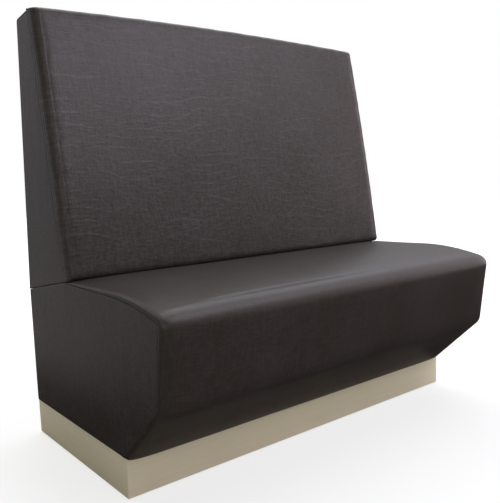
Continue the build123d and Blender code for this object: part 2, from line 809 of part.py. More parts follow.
def pad_section(x, inset, edge, roll, seam_overrun):
    """Side view of the pad at a place along the bench, with its face drawn back by an edge depth."""
    foot = joint_reveal + inset
    face_depth = inset + pad_bow + edge
    top = (0, back_height + crown_at(x) - inset)
    level = (1, 0)
    lower = face_point(foot, face_depth)
    upper = meet(lower, up_face, top, level)
    half_length = hypot(upper[0] - lower[0], upper[1] - lower[1]) / 2
    bow_height = pad_bow / (1 - bow_arc_share / 2)
    middle = face_point(foot + half_length, face_depth - bow_height)
    bow_radius = half_length * half_length * bow_arc_share / bow_height
    seam_foot = face_point(foot, pad_depth + seam_overrun)
    corner = min(roll, pad_depth - face_depth - soft_gap)
    with BuildSketch(Plane.XY) as section:
        with BuildLine():
            face = FilletPolyline(
                seam_foot,
                lower,
                middle,
                upper,
                meet(seam_foot, up_face, top, level),
                radius=[corner, bow_radius, corner],
            )
            Line(face @ 1, face @ 0)
        make_face()
    return section.sketch


def pad_form(inset, roll, seam_overrun):
    """The bowed pad of the back at a depth inside its skin, with rolled edges, run on past the seam."""
    end_x = half_width - inset
    stations = [(-end_x + roll * share, roll * (1 - sqrt(1 - (1 - share) ** 2))) for share in pad_roll_shares]
    stations += [(end_x * share, 0) for share in top_station_shares[1:-1]]
    stations += [(-x, edge) for x, edge in reversed(stations[: len(pad_roll_shares)])]
    with BuildPart() as form:
        for x, edge in stations:
            with BuildSketch(Plane.YZ.offset(x)):
                add(pad_section(x, inset, edge, roll, seam_overrun))
        loft(ruled=True)
    return form.part


# Foam of the back pad and the cover pulled over it, open at the seam behind
pad_foam = pad_form(skin_depth, pad_roll - skin_depth, 0)
with BuildPart() as back_foam:
    add(pad_foam)
save(back_foam, "back_foam")

pad_outside = pad_form(0, pad_roll, 0)
pad_inside = pad_form(cover_thickness, pad_roll - cover_thickness, cut_overrun)
with BuildPart() as back_front_cover:
    add(pad_outside)
    add(pad_inside, mode=Mode.SUBTRACT)
save(back_front_cover, "back_front_cover")

# Foam strip under the crowned top of the back
strip_foot = back_corners(pad_depth, frame_top_inset, rear_top_radius, 0)
with BuildPart() as back_top_pad:
    for share in top_station_shares:
        strip_x = panel_x * share
        strip_top = back_corners(pad_depth, skin_depth - crown_at(strip_x), rear_top_radius, 0)
        with BuildSketch(Plane.YZ.offset(strip_x)):
            Polygon(strip_foot[3], strip_foot[2], strip_top[2], strip_top[3], align=None)
    loft(ruled=True)
save(back_top_pad, "back_top_pad")


def rear_section(x, inset, front_depth, lift):
    """Side view of the back behind the seam at a place along the bench, inset from the skin."""
    corners = back_corners(front_depth, inset - crown_at(x), inset, lift)
    with BuildSketch(Plane.XY) as section:
        with BuildLine():
            rounded = FilletPolyline(corners[3], corners[2], corners[1], radius=[rear_top_radius - inset])
            Polyline(rounded @ 1, corners[0], rounded @ 0)
        make_face()
    return section.sketch


def rear_form(inset, front_depth, reach_x, lift):
    """The back behind the seam, under its crowned top, inset from the skin at the top and the rear."""
    with BuildPart() as form:
        for share in top_station_shares:
            with BuildSketch(Plane.YZ.offset(reach_x * share)):
                add(rear_section(reach_x * share, inset, front_depth, lift))
        loft(ruled=True)
    return form.part


# Cover of the back's top and rear in one piece
rear_outside = rear_form(0, pad_depth, cover_x, joint_reveal)
rear_inside = rear_form(cover_thickness, pad_depth - cut_overrun, half_width, joint_reveal - cut_overrun)
with BuildPart() as back_rear_cover:
    add(rear_outside)
    add(rear_inside, mode=Mode.SUBTRACT)
save(back_rear_cover, "back_rear_cover")

# Flat sides of the back, behind the seam
for word, side in (("left", -1), ("right", 1)):
    with BuildPart() as back_side_pad:
        with BuildSketch(Plane.YZ.offset(side * panel_x)) as outline:
            Polygon(*back_corners(pad_depth, skin_depth, skin_depth, joint_reveal), align=None)
            fillet(outline.vertices().sort_by(Axis.Y)[-2:].sort_by(Axis.X)[-1], radius=side_corner_radius)
        extrude(amount=side * side_pad_thickness)
    save(back_side_pad, f"back_side_pad_{word}")

    with BuildPart() as back_side_cover:
        with BuildSketch(Plane.YZ.offset(side * cover_x)) as outline:
            Polygon(*back_corners(pad_depth, 0, 0, joint_reveal), align=None)
            fillet(outline.vertices().sort_by(Axis.Y)[-2:].sort_by(Axis.X)[-1], radius=side_corner_radius)
        extrude(amount=side * cover_thickness)
    save(back_side_cover, f"back_side_cover_{word}")

# Bolts that hold the back down on the seat, with their washers and tee nuts
head_plane = joint_plane.offset(-panel_ply - washer_thickness)
with BuildPart() as joint_bolts:
    with BuildSketch(head_plane):
        with Locations(*bolt_places):
            RegularPolygon(bolt_head_flats / 2, 6, major_radius=False)
    extrude(amount=-bolt_head_height)
    with BuildSketch(head_plane):
        with Locations(*bolt_places):
            RegularPolygon(bolt_diameter / 2, round_sides)
    extrude(amount=washer_thickness + panel_ply * 2 + tee_flange_thickness + bolt_end)
save(joint_bolts, "joint_bolts")

with BuildPart() as joint_washers:
    with BuildSketch(head_plane):
        with Locations(*bolt_places):
            RegularPolygon(washer_diameter / 2, round_sides)
            RegularPolygon((bolt_diameter + washer_play) / 2, round_sides, mode=Mode.SUBTRACT)
    extrude(amount=washer_thickness)
save(joint_washers, "joint_washers")

with BuildPart() as tee_nuts:
    with BuildSketch(joint_plane.offset(panel_ply)):
        with Locations(*bolt_places):
            RegularPolygon(tee_flange_diameter / 2, round_sides)
    extrude(amount=tee_flange_thickness)
    with BuildSketch(joint_plane.offset(panel_ply)):
        with Locations(*bolt_places):
            RegularPolygon(tee_barrel_diameter / 2, round_sides)
    extrude(amount=-tee_barrel_length)
    with BuildSketch(joint_plane.offset(panel_ply + tee_flange_thickness)):
        with Locations(*bolt_places):
            RegularPolygon(bolt_diameter / 2 + tee_play, round_sides)
    extrude(amount=-tee_flange_thickness - tee_barrel_length, mode=Mode.SUBTRACT)
save(tee_nuts, "tee_nuts")

# Screws that hold the seat down on the plinth's battens
with BuildPart() as plinth_screws:
    screw_places = [(x, y) for x in (-screw_x, 0, screw_x) for y in (screw_front_y, screw_rear_y)]
    with BuildSketch(Plane.XY.offset(base_rail_top)):
        with Locations(*screw_places):
            RegularPolygon(screw_head_diameter / 2, round_sides)
    extrude(amount=screw_head_height)
    with BuildSketch(Plane.XY.offset(base_rail_top)):
        with Locations(*screw_places):
            RegularPolygon(screw_diameter / 2, round_sides)
    extrude(amount=-base_rail_height - screw_into_batten)
save(plinth_screws, "plinth_screws")
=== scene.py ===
"""Dresses a restaurant booth bench: dark brown coated-fabric upholstery on a low beige plinth."""

import json
import math

import bmesh
import bpy
import numpy as np
from mathutils import Matrix, Vector


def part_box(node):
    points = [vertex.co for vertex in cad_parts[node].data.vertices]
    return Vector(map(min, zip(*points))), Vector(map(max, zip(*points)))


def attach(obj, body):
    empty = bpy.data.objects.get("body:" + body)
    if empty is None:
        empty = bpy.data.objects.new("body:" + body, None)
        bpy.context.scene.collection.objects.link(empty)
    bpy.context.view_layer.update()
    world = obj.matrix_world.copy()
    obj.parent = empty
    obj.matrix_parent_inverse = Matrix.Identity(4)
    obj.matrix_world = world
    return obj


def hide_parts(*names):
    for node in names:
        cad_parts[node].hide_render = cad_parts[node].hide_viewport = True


bl_info = {
    "name": "Booth bench upholstery",
    "version": (1, 0, 0),
    "blender": (4, 5, 0),
    "location": "View3D > Sidebar > Booth bench",
    "description": "Makes the covers, foam and finishes of a booth bench round its packed frame",
    "category": "Object",
}

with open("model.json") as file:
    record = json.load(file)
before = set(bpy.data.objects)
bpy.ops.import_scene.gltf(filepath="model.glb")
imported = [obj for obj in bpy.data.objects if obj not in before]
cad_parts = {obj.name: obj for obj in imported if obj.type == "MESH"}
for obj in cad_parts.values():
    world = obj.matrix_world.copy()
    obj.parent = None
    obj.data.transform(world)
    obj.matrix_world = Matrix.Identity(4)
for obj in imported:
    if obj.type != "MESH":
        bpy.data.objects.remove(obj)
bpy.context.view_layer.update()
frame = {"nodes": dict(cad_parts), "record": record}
SLOT_OF = {part["node"]: part["material_slot"] for part in frame["record"]["subparts"]}
BODY = "root"
END_LAP = 0.002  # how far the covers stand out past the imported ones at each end
PAD_LAP = 0.0015  # how far the back pad's ends stand out past the other covers
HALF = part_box("back_front_cover")[1].x + END_LAP
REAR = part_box("seat_rear_cover")[1].y
PLINTH_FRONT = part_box("plinth_front_board")[0].y
PLINTH_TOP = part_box("plinth_front_board")[1].z
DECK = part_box("spring_cover_sheet")[1].z
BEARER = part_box("bearer_upright")[0].y
LEVEL = np.array([1.0, 0.0])  # straight back, in side view
UV_NAME = "cover_uv"


# sizes and colours


def size_setting(name, description, metres):
    """A setting for a length."""
    return bpy.props.FloatProperty(name=name, description=description, default=metres, unit="LENGTH")


def colour_setting(name, description, rgb):
    """A setting for a colour."""
    return bpy.props.FloatVectorProperty(
        name=name, description=description, default=rgb, size=3, subtype="COLOR"
    )


class BoothSizes(bpy.types.PropertyGroup):
    """Sizes of the upholstery, in metres."""

    seat_height: size_setting("Seat height", "Height of the seat's side seam", 0.478)
    seat_crown: size_setting("Seat crown", "How far the seat rises between its side seams", 0.019)
    nose_crown: size_setting("Nose crown", "How far the front edge bows forward between its ends", 0.0185)
    nose_lift: size_setting("Nose lift", "How far the front edge rises between its ends", 0.0165)
    back_height: size_setting("Back height", "Height of the back at its ends", 1.1885)
    top_crown: size_setting("Top crown", "Rise of the back's top line at mid width", 0.011)
    recline: bpy.props.FloatProperty(
        name="Recline", description="Lean of the back's face", default=math.radians(10), subtype="ANGLE"
    )
    pad_depth: size_setting("Pad depth", "Depth of the back pad from face to seam", 0.045)
    pad_roll: size_setting("Pad roll", "Radius of the back pad's soft edges", 0.014)
    side_roll_width: size_setting("Side roll width", "How far from its ends the back pad rolls off", 0.018)
    side_roll_depth: size_setting("Side roll depth", "How far the back pad draws back at its ends", 0.027)
    seam_roll: size_setting("Seam roll", "Radius of the cover where it turns into a side seam", 0.0026)
    seam_depth: size_setting("Seam depth", "How deep a seam sinks between two covers", 0.0028)
    cover_thickness: size_setting("Cover thickness", "Thickness of the coated fabric", 0.0015)


class BoothLook(bpy.types.PropertyGroup):
    """Colours and texture strengths of the visible finishes."""

    cover_colour: colour_setting("Cover colour", "Colour of the coated fabric", (0.0315, 0.0228, 0.0160))
    # the rubbed tone of scratches and creases is real wear; its blue-grey tint is a painted sheen,
    # strongest on the back pad
    cover_worn_and_sheen: colour_setting(
        "Rubbed colour", "Lighter tone of the cover's scratches and creases", (0.083, 0.071, 0.071)
    )
    cover_gloss: bpy.props.FloatProperty(
        name="Cover roughness", description="Mean roughness of the cover",
        default=0.42, min=0.0, max=1.0, subtype="FACTOR",
    )
    plinth_colour: colour_setting("Plinth colour", "Colour of the plinth's boards", (0.93, 0.84, 0.60))


def sizes():
    """The bench's size settings."""
    return bpy.context.scene.booth_sizes


def look():
    """The bench's colour settings."""
    return bpy.context.scene.booth_look


# mesh helpers


def link(name, data):
    """A new object in the scene."""
    piece = bpy.data.objects.new(name, data)
    bpy.context.scene.collection.objects.link(piece)
    return piece


def tuned(item, **settings):
    """An item with its settings changed."""
    for key, value in settings.items():
        setattr(item, key, value)
    return item


def mesh_object(name, points, quads, uv, finish, thickness=0.0):
    """Puts whole arrays of points, four-sided faces and UVs into a new smooth-shaded mesh object."""
    mesh = bpy.data.meshes.new(name)
    mesh.vertices.add(len(points))
    mesh.vertices.foreach_set("co", np.ascontiguousarray(points, np.float32).ravel())
    mesh.loops.add(quads.size)
    mesh.loops.foreach_set("vertex_index", np.ascontiguousarray(quads, np.int32).ravel())
    mesh.polygons.add(len(quads))
    mesh.polygons.foreach_set("loop_start", np.arange(0, quads.size, 4, dtype=np.int32))
    mesh.polygons.foreach_set("use_smooth", np.ones(len(quads), bool))
    layer = mesh.uv_layers.new(name=UV_NAME)
    layer.data.foreach_set("uv", np.ascontiguousarray(uv[quads.ravel()], np.float32).ravel())
    mesh.update(calc_edges=True)
    mesh.validate()
    piece = link(name, mesh)
    mesh.materials.append(finish_of(finish))
    if thickness:
        wall = piece.modifiers.new("cover thickness", "SOLIDIFY")
        tuned(wall, thickness=thickness, offset=-1.0, use_rim=True)
    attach(piece, BODY)
    return piece


def grid_object(name, points, uv, outward, finish, thickness):
    """A mesh from a grid of points (rows, columns, 3) and their places on a flat map in metres. The
    faces are turned round if they look against the outward direction."""
    rows, columns = points.shape[:2]
    index = np.arange(rows * columns).reshape(rows, columns)
    quads = np.stack([index[:-1, :-1], index[1:, :-1], index[1:, 1:], index[:-1, 1:]], axis=-1)
    quads = quads.reshape(-1, 4)
    flat = points.reshape(-1, 3)
    a, b = flat[quads[:, 2]] - flat[quads[:, 0]], flat[quads[:, 3]] - flat[quads[:, 1]]
    if np.cross(a, b).sum(0) @ np.asarray(outward, float) < 0:
        quads = quads[:, ::-1]
    return mesh_object(name, flat, quads, uv.reshape(-1, 2), finish, thickness)


def cover(name, points, uv, outward, finish):
    """A piece of coated fabric with a wall of its own thickness behind the given points."""
    return grid_object(name, points, uv, outward, finish, sizes().cover_thickness)


def coordinates(*parts):
    """Arrays spread to one shape and joined as the coordinates of points."""
    return np.stack(np.broadcast_arrays(*parts), axis=-1)


def swept(x, lines):
    """Side-view lines (stations, count, 2) set at their places along X, as points in space."""
    return coordinates(x.reshape(len(x), -1), lines[..., 0], lines[..., 1])


def closed_form(name, x, ring):
    """A closed foam body along X: rings of points (stations, count, 2) in side view, joined ring to ring
    and closed at each end by strips across the ring. A last odd point is left out."""
    ring = ring[:, : ring.shape[1] // 2 * 2]
    stations, count = ring.shape[:2]
    index = np.arange(stations * count).reshape(stations, count)
    around = np.roll(index, -1, axis=1)
    sides = np.stack([index[:-1], index[1:], around[1:], around[:-1]], axis=-1).reshape(-1, 4)
    near = np.arange(count // 2 - 1)
    far = count - 1 - near
    cap = np.stack([near, near + 1, far - 1, far], axis=-1)
    quads = np.concatenate([sides, index[0][cap], index[-1][cap][:, ::-1]])
    y, z = ring[0, :, 0], ring[0, :, 1]
    if np.sum(y * np.roll(z, -1) - np.roll(y, -1) * z) > 0:
        quads = quads[:, ::-1]
    flat = swept(x, ring).reshape(-1, 3)
    uv = np.stack([flat[:, 0], flat[:, 1] + flat[:, 2]], axis=-1)
    return mesh_object(name, flat, quads, uv, "foam")


def unit(v):
    """Vectors scaled to length one."""
    return v / np.linalg.norm(v, axis=-1, keepdims=True)


def turned_left(v):
    """Side-view vectors turned a quarter turn to the left."""
    return np.stack([-v[..., 1], v[..., 0]], axis=-1)


def crossed(u, v):
    """The cross product of side-view vectors."""
    return u[..., 0] * v[..., 1] - u[..., 1] * v[..., 0]


def crossing(p, u, q, v):
    """Where the line through p along u meets the line through q along v, for whole arrays of lines."""
    reach = crossed(q - p, v) / crossed(u, v)
    return p + u * reach[..., None]


def parallel(corners, inset):
    """Corners (stations, count, 2) of a path moved to its left by a depth. The ends move square to it."""
    runs = unit(np.diff(corners, axis=1))
    left = turned_left(runs)
    starts = corners[:, :-1] + left * inset
    middle = crossing(starts[:, :-1], runs[:, :-1], starts[:, 1:], runs[:, 1:])
    last = corners[:, -1:] + left[:, -1:] * inset
    return np.concatenate([starts[:, :1], middle, last], axis=1)


def straight_rows(a, b, count, last=False):
    """Points from a to b, with or without b, for whole arrays of ends."""
    return a[:, None] + (b - a)[:, None] * np.linspace(0, 1, count + last, endpoint=last)[None, :, None]


def rounded(corners, radii, steps, arc_steps):
    """Points along straight runs joined by arcs, for many stations at once. A run stops short of its
    corner by the radius times the tangent of half the turn."""
    runs = unit(np.diff(corners, axis=1))
    a, b = runs[:, :-1], runs[:, 1:]
    turn = np.arctan2(crossed(a, b), (a * b).sum(-1))
    radii = np.broadcast_to(np.asarray(radii, float), turn.shape)
    cut = radii * np.tan(np.abs(turn) / 2)
    starts = corners[:, 1:-1] - a * cut[..., None]
    ends = corners[:, 1:-1] + b * cut[..., None]
    normal = np.sign(turn)[..., None] * turned_left(a)
    pieces, previous = [], corners[:, 0]
    for k in range(turn.shape[1]):
        pieces.append(straight_rows(previous, starts[:, k], steps[k]))
        angle = np.linspace(0, 1, arc_steps[k], endpoint=False)[:, None] * np.abs(turn[:, k, None, None])
        swing = np.sin(angle) * a[:, k, None] + (1 - np.cos(angle)) * normal[:, k, None]
        pieces.append(starts[:, k, None] + radii[:, k, None, None] * swing)
        previous = ends[:, k]
    pieces.append(straight_rows(previous, corners[:, -1], steps[-1], last=True))
    return np.concatenate(pieces, axis=1)


def along(line):
    """Length run along a line of points, from its start."""
    return np.concatenate([[0.0], np.cumsum(np.linalg.norm(np.diff(line, axis=0), axis=1))])


def resample(line, shares):
    """Points of a line at given shares of its length."""
    run = along(line)
    return np.stack([np.interp(shares * run[-1], run, line[:, k]) for k in range(line.shape[1])], axis=-1)


def offset(lines, inset):
    """Side-view lines (stations, count, 2) moved to their left by an inset at each point."""
    return lines + turned_left(unit(np.gradient(lines, axis=1))) * np.asarray(inset)[..., None]


def both_ends(end, middle, sign=1):
    """Values from one end of the bench to the other: an end, the middle and the end mirrored."""
    return np.concatenate([end, middle, sign * end[::-1]])


def quarter_turn(count):
    """How far a quarter turn of radius one has come, and how far it still has to go."""
    angle = np.linspace(0, math.pi / 2, count)
    return 1 - np.cos(angle), 1 - np.sin(angle)


def bell(value, centre, width):
    """A smooth hump of height one about a centre."""
    return np.exp(-(((value - centre) / width) ** 2))


def ripple(s, seed, wavelength):
    """A smooth uneven wave between about -1 and 1: four sines drawn from a seed."""
    rng = np.random.default_rng(seed)
    value = np.zeros_like(s, dtype=float)
    for _ in range(4):
        value += np.sin(2 * np.pi * s / (wavelength * rng.uniform(0.6, 1.7)) + rng.uniform(0, 2 * np.pi))
    return value / 3


def ripples(amount, s, t, seed, wave_s, wave_t):
    """An uneven swell over a surface: the product of a ripple each way."""
    s, t = (s[:, None], t[None]) if s.ndim == 1 else (s, t)
    return amount * ripple(s, seed, wave_s) * ripple(t, seed + 1, wave_t)


def crowded(reach, edge, fine, coarse):
    """Places from 0 to a reach, close together within an edge distance of both ends."""
    n_edge, n_mid = max(2, round(edge / fine)), max(2, round((reach - 2 * edge) / coarse))
    start = edge * np.linspace(0, 1, n_edge, endpoint=False) ** 1.4
    middle = np.linspace(edge, reach - edge, n_mid, endpoint=False)
    return np.concatenate([start, middle, [reach - edge], reach - start[::-1]])


def middle_places(start, fine, coarse, edge):
    """Places along the bench from one end to the other, closer together near the ends."""
    left = -HALF + start + (edge - start) * np.linspace(0, 1, round(edge / fine), endpoint=False) ** 1.5
    middle = np.linspace(-HALF + edge, HALF - edge, round((2 * HALF - 2 * edge) / coarse))
    return both_ends(left, middle, -1)


# shapes of the bench in side view

FACE_SET = 0.043  # the back's face stands this far in front of the bearer, at the joint
JOINT_DROP = 0.044  # the joint's rear end lies this far under the seat's side seam
NOSE_DROP = 0.0305  # the nose's corner lies this far under the seat's side seam
SEAT_STEPS = (10, 3, 12, 10, 6, 20, 22, 3)  # points along the seat's straight runs
SEAT_ARCS = (6, 10, 34, 12, 12, 4)  # and round its corners
NOSE_ROW = sum(SEAT_STEPS[:4]) + sum(SEAT_ARCS[:3]) + SEAT_ARCS[3] // 2  # the middle of the nose's arc
TOP_STEPS, TOP_ARCS = (14, 60, 2), (10, 3)  # points along and round the back's top and rear
TOP_CORNER = 0.009  # radius between the back's top and rear
BOW, BOW_ROUND = 0.005, 0.8  # how far the back's face bows, and the share of it that is one arc


def joint_height(y):
    """Height of the sloping joint between seat and back."""
    s = sizes()
    return s.seat_height - JOINT_DROP + (REAR - y) * math.tan(s.recline)


def back_lines():
    """The back in side view: directions up its face and into it, and a point on the face at the height
    of the joint."""
    lean = sizes().recline
    face_y = BEARER - FACE_SET
    up = np.array([math.sin(lean), math.cos(lean)])
    return up, np.array([math.cos(lean), -math.sin(lean)]), np.array([face_y, joint_height(face_y)])


def on_lean(point, z):
    """Y at given heights on the line through a point up the back's face."""
    up = back_lines()[0]
    return point[0] + (z - point[1]) * up[0] / up[1]


def rise_at(x):
    """Share of the full crown along the bench, with a quick rounded fall to nothing at each end."""
    return np.clip(1 - np.abs(x / HALF) ** 24, 0, 1) ** 0.6


def crown_at(x):
    """Rise of the back's top line: a parabola over the width."""
    return sizes().top_crown * (1 - (x / HALF) ** 2)


def seat_corners(rise):
    """Corners (stations, 8, 2) of the seat cover for each share of the crown: tuck bottom, tuck top,
    shoulder, brow, nose, lower corner, hem and the fold under the hem."""
    s = sizes()
    tuck_y = BEARER - 0.0003
    nose_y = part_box("seat_cover")[0].y + 0.0055
    nose_z = s.seat_height - NOSE_DROP
    lower_z = PLINTH_TOP + (s.seat_height - PLINTH_TOP) * 0.3915
    lower_y = nose_y + (nose_z - lower_z) * math.tan(math.radians(6))
    corners = [
        (tuck_y, DECK + 0.01),
        (tuck_y, s.seat_height + 0.0026 + 0.0015 * rise),
        (BEARER - 0.048, s.seat_height + 0.003 + 0.007 * rise),
        (nose_y + 0.127, s.seat_height + s.seat_crown * rise),
        (nose_y - s.nose_crown * rise, nose_z + s.nose_lift * rise),
        (lower_y - 0.006 * rise, lower_z),
        (PLINTH_FRONT - 0.003 - 0.01 * rise, PLINTH_TOP + 0.0012 - 0.005 * rise),
        (PLINTH_FRONT + 0.004 - 0.0055 * rise, PLINTH_TOP + 0.0008 - 0.005 * rise),
    ]
    return np.stack([coordinates(y, z, rise)[..., :2] for y, z in corners], axis=1)


def seat_radii(corners, rise, inset=0.0):
    """Radii at the seat's inner corners. The brow's arc takes up two thirds of the fall to the nose."""
    before = unit(corners[:, 3] - corners[:, 2])
    fall = corners[:, 4] - corners[:, 3]
    after = unit(fall)
    turn = np.arctan2(crossed(before, after), (before * after).sum(-1))
    brow = np.linalg.norm(fall, axis=-1) * 0.66 / np.tan(np.abs(turn) / 2)
    nose, lower = 0.015 + 0.026 * rise, 0.022 + 0.07 * rise
    return coordinates(0.006, 0.060, brow, nose, lower, 0.002 + inset) - inset


def seat_profile(x):
    """Side-view lines (stations, count, 2) of the seat's skin at places along the bench."""
    corners = seat_corners(rise_at(x))
    return rounded(corners, seat_radii(corners, rise_at(x)), SEAT_STEPS, SEAT_ARCS)


def level_cut(corners, k, height):
    """Where the run from corner k to the next one passes a height."""
    return crossing(corners[:, k], unit(corners[:, k + 1] - corners[:, k]), np.array([0.0, height]), LEVEL)


def front_share(past_nose):
    """Share from 0 on the seat's top to 1 below its nose, for lengths run past the nose."""
    return 1 / (1 + np.exp(-(past_nose - 0.012) / 0.006))


def pad_sections(x, edge, inset=0.0):
    """Side-view lines of the back pad and the foot of its seam. A line runs from that foot forward, up
    the bowed face with a rounded edge at each end of it, and level back to the seam."""
    s = sizes()
    up, into, face = back_lines()
    foot = 0.001 + inset
    depth = inset + BOW + edge
    top = coordinates(0.0, s.back_height + crown_at(x) - inset)
    lower = face + foot * up + depth[:, None] * into
    upper = crossing(lower, up, top, LEVEL)
    half_length = np.linalg.norm(upper - lower, axis=-1) / 2
    bow_height = BOW / (1 - BOW_ROUND / 2)
    middle = face + (foot + half_length)[:, None] * up + (depth - bow_height)[:, None] * into
    bow_radius = half_length ** 2 * BOW_ROUND / bow_height
    seam_foot = face + foot * up + s.pad_depth * into
    corner = np.clip(np.minimum(s.pad_roll - inset, s.pad_depth - depth - 0.0003), 0.0008, None)
    seam_top = crossing(seam_foot, up, top, LEVEL)
    corners = np.stack(np.broadcast_arrays(seam_foot, lower, middle, upper, seam_top), axis=1)
    radii = np.stack([corner, bow_radius, corner], axis=1)
    return rounded(corners, radii, (6, 4, 4, 6), (12, 84, 12)), seam_foot


# materials


def cleared(owner):
    """The emptied node tree of a material or a world."""
    owner.use_nodes = True
    owner.node_tree.nodes.clear()
    return owner.node_tree


def node(tree, kind, inputs=None, **settings):
    """A node with its settings and inputs. An input that is a socket is linked, and any other is set."""
    made = tuned(tree.nodes.new(kind), **settings)
    for key, value in (inputs or {}).items():
        if isinstance(value, bpy.types.NodeSocket):
            tree.links.new(value, made.inputs[key])
        else:
            made.inputs[key].default_value = value
    return made


def maths(tree, operation, a, b=0.0, c=0.0, clamp=False):
    """The result of one Math node."""
    return node(tree, "ShaderNodeMath", {0: a, 1: b, 2: c}, operation=operation, use_clamp=clamp).outputs[0]


def weighted(tree, *parts):
    """The sum of values times their weights."""
    total = 0.0
    for value, weight in parts:
        total = maths(tree, "MULTIPLY_ADD", value, weight, total)
    return total


def vectors(tree, operation, *inputs, result="Vector"):
    """The result of one Vector Math node."""
    return node(tree, "ShaderNodeVectorMath", dict(enumerate(inputs)), operation=operation).outputs[result]


def own_place(tree):
    """The place of a point on its piece, in metres."""
    return node(tree, "ShaderNodeTexCoord").outputs["Object"]


def flat_place(tree):
    """The place of a point on the piece's flat map, in metres."""
    return node(tree, "ShaderNodeUVMap", uv_map=UV_NAME).outputs["UV"]


def axis(tree, vector, name):
    """One coordinate of a vector."""
    return node(tree, "ShaderNodeSeparateXYZ", {"Vector": vector}).outputs[name]


def stretched(tree, vector, scale, shift=(0, 0, 0)):
    """A vector scaled by axis and shifted."""
    inputs = {"Vector": vector, "Scale": scale, "Location": shift}
    return node(tree, "ShaderNodeMapping", inputs).outputs["Vector"]


def noise(tree, vector, scale, detail=2.0, roughness=0.5, result="Fac"):
    """The value of a noise texture. A scale for each axis stretches it."""
    if isinstance(scale, tuple):
        vector, scale = stretched(tree, vector, scale), 1.0
    inputs = {"Vector": vector, "Scale": scale, "Detail": detail, "Roughness": roughness}
    return node(tree, "ShaderNodeTexNoise", inputs).outputs[result]


def cells(tree, vector, scale, feature="DISTANCE_TO_EDGE"):
    """Distance from the walls of a net of uneven cells, or from their centres."""
    inputs = {"Vector": vector, "Scale": scale}
    return node(tree, "ShaderNodeTexVoronoi", inputs, feature=feature).outputs["Distance"]


def bands(tree, vector, scale, distortion, detail, direction):
    """The value of a wave texture that runs across a direction."""
    inputs = {"Vector": vector, "Scale": scale, "Distortion": distortion, "Detail": detail}
    return node(tree, "ShaderNodeTexWave", inputs, bands_direction=direction).outputs["Fac"]


def band(tree, value, low, high):
    """The value carried from the range low..high to 0..1 with soft ends."""
    inputs = {"Value": value, "From Min": low, "From Max": high}
    return node(tree, "ShaderNodeMapRange", inputs, interpolation_type="SMOOTHSTEP").outputs["Result"]


def blend(tree, factor, *colours):
    """Two colours mixed by a factor."""
    a, b = (c if isinstance(c, bpy.types.NodeSocket) else (*c, 1.0) for c in colours)
    return node(tree, "ShaderNodeMix", {0: factor, 6: a, 7: b}, data_type="RGBA").outputs[2]


def darker(rgb, share):
    """A colour brought down to a share of itself."""
    return tuple(c * share for c in rgb)


def bump(tree, height, strength, distance):
    """The surface's normal, disturbed by a height."""
    inputs = {"Height": height, "Strength": strength, "Distance": distance}
    return node(tree, "ShaderNodeBump", inputs).outputs["Normal"]


def crease_lines(tree, uv, seed, spacing, wander, width):
    """Soft long lines that wander across the cover: contours of height plus a slow noise, where the
    sum passes whole numbers. Patches of noise break them up."""
    place = stretched(tree, uv, (1.0, 1.0, 1.0), (seed, seed * 0.7, 0))
    slow = noise(tree, place, (4.4, 5.0, 1), 1.0, 0.4)
    height = maths(tree, "DIVIDE", axis(tree, place, "Y"), spacing)
    phase = maths(tree, "ADD", height, maths(tree, "MULTIPLY", slow, wander))
    line = band(tree, maths(tree, "PINGPONG", phase, 0.5), width, 0.0)
    patch = noise(tree, stretched(tree, place, (5.0, 8.0, 1), (seed, 3, 0)), 1.0, 3.0, 0.6)
    return maths(tree, "MULTIPLY", line, band(tree, patch, 0.44, 0.62))


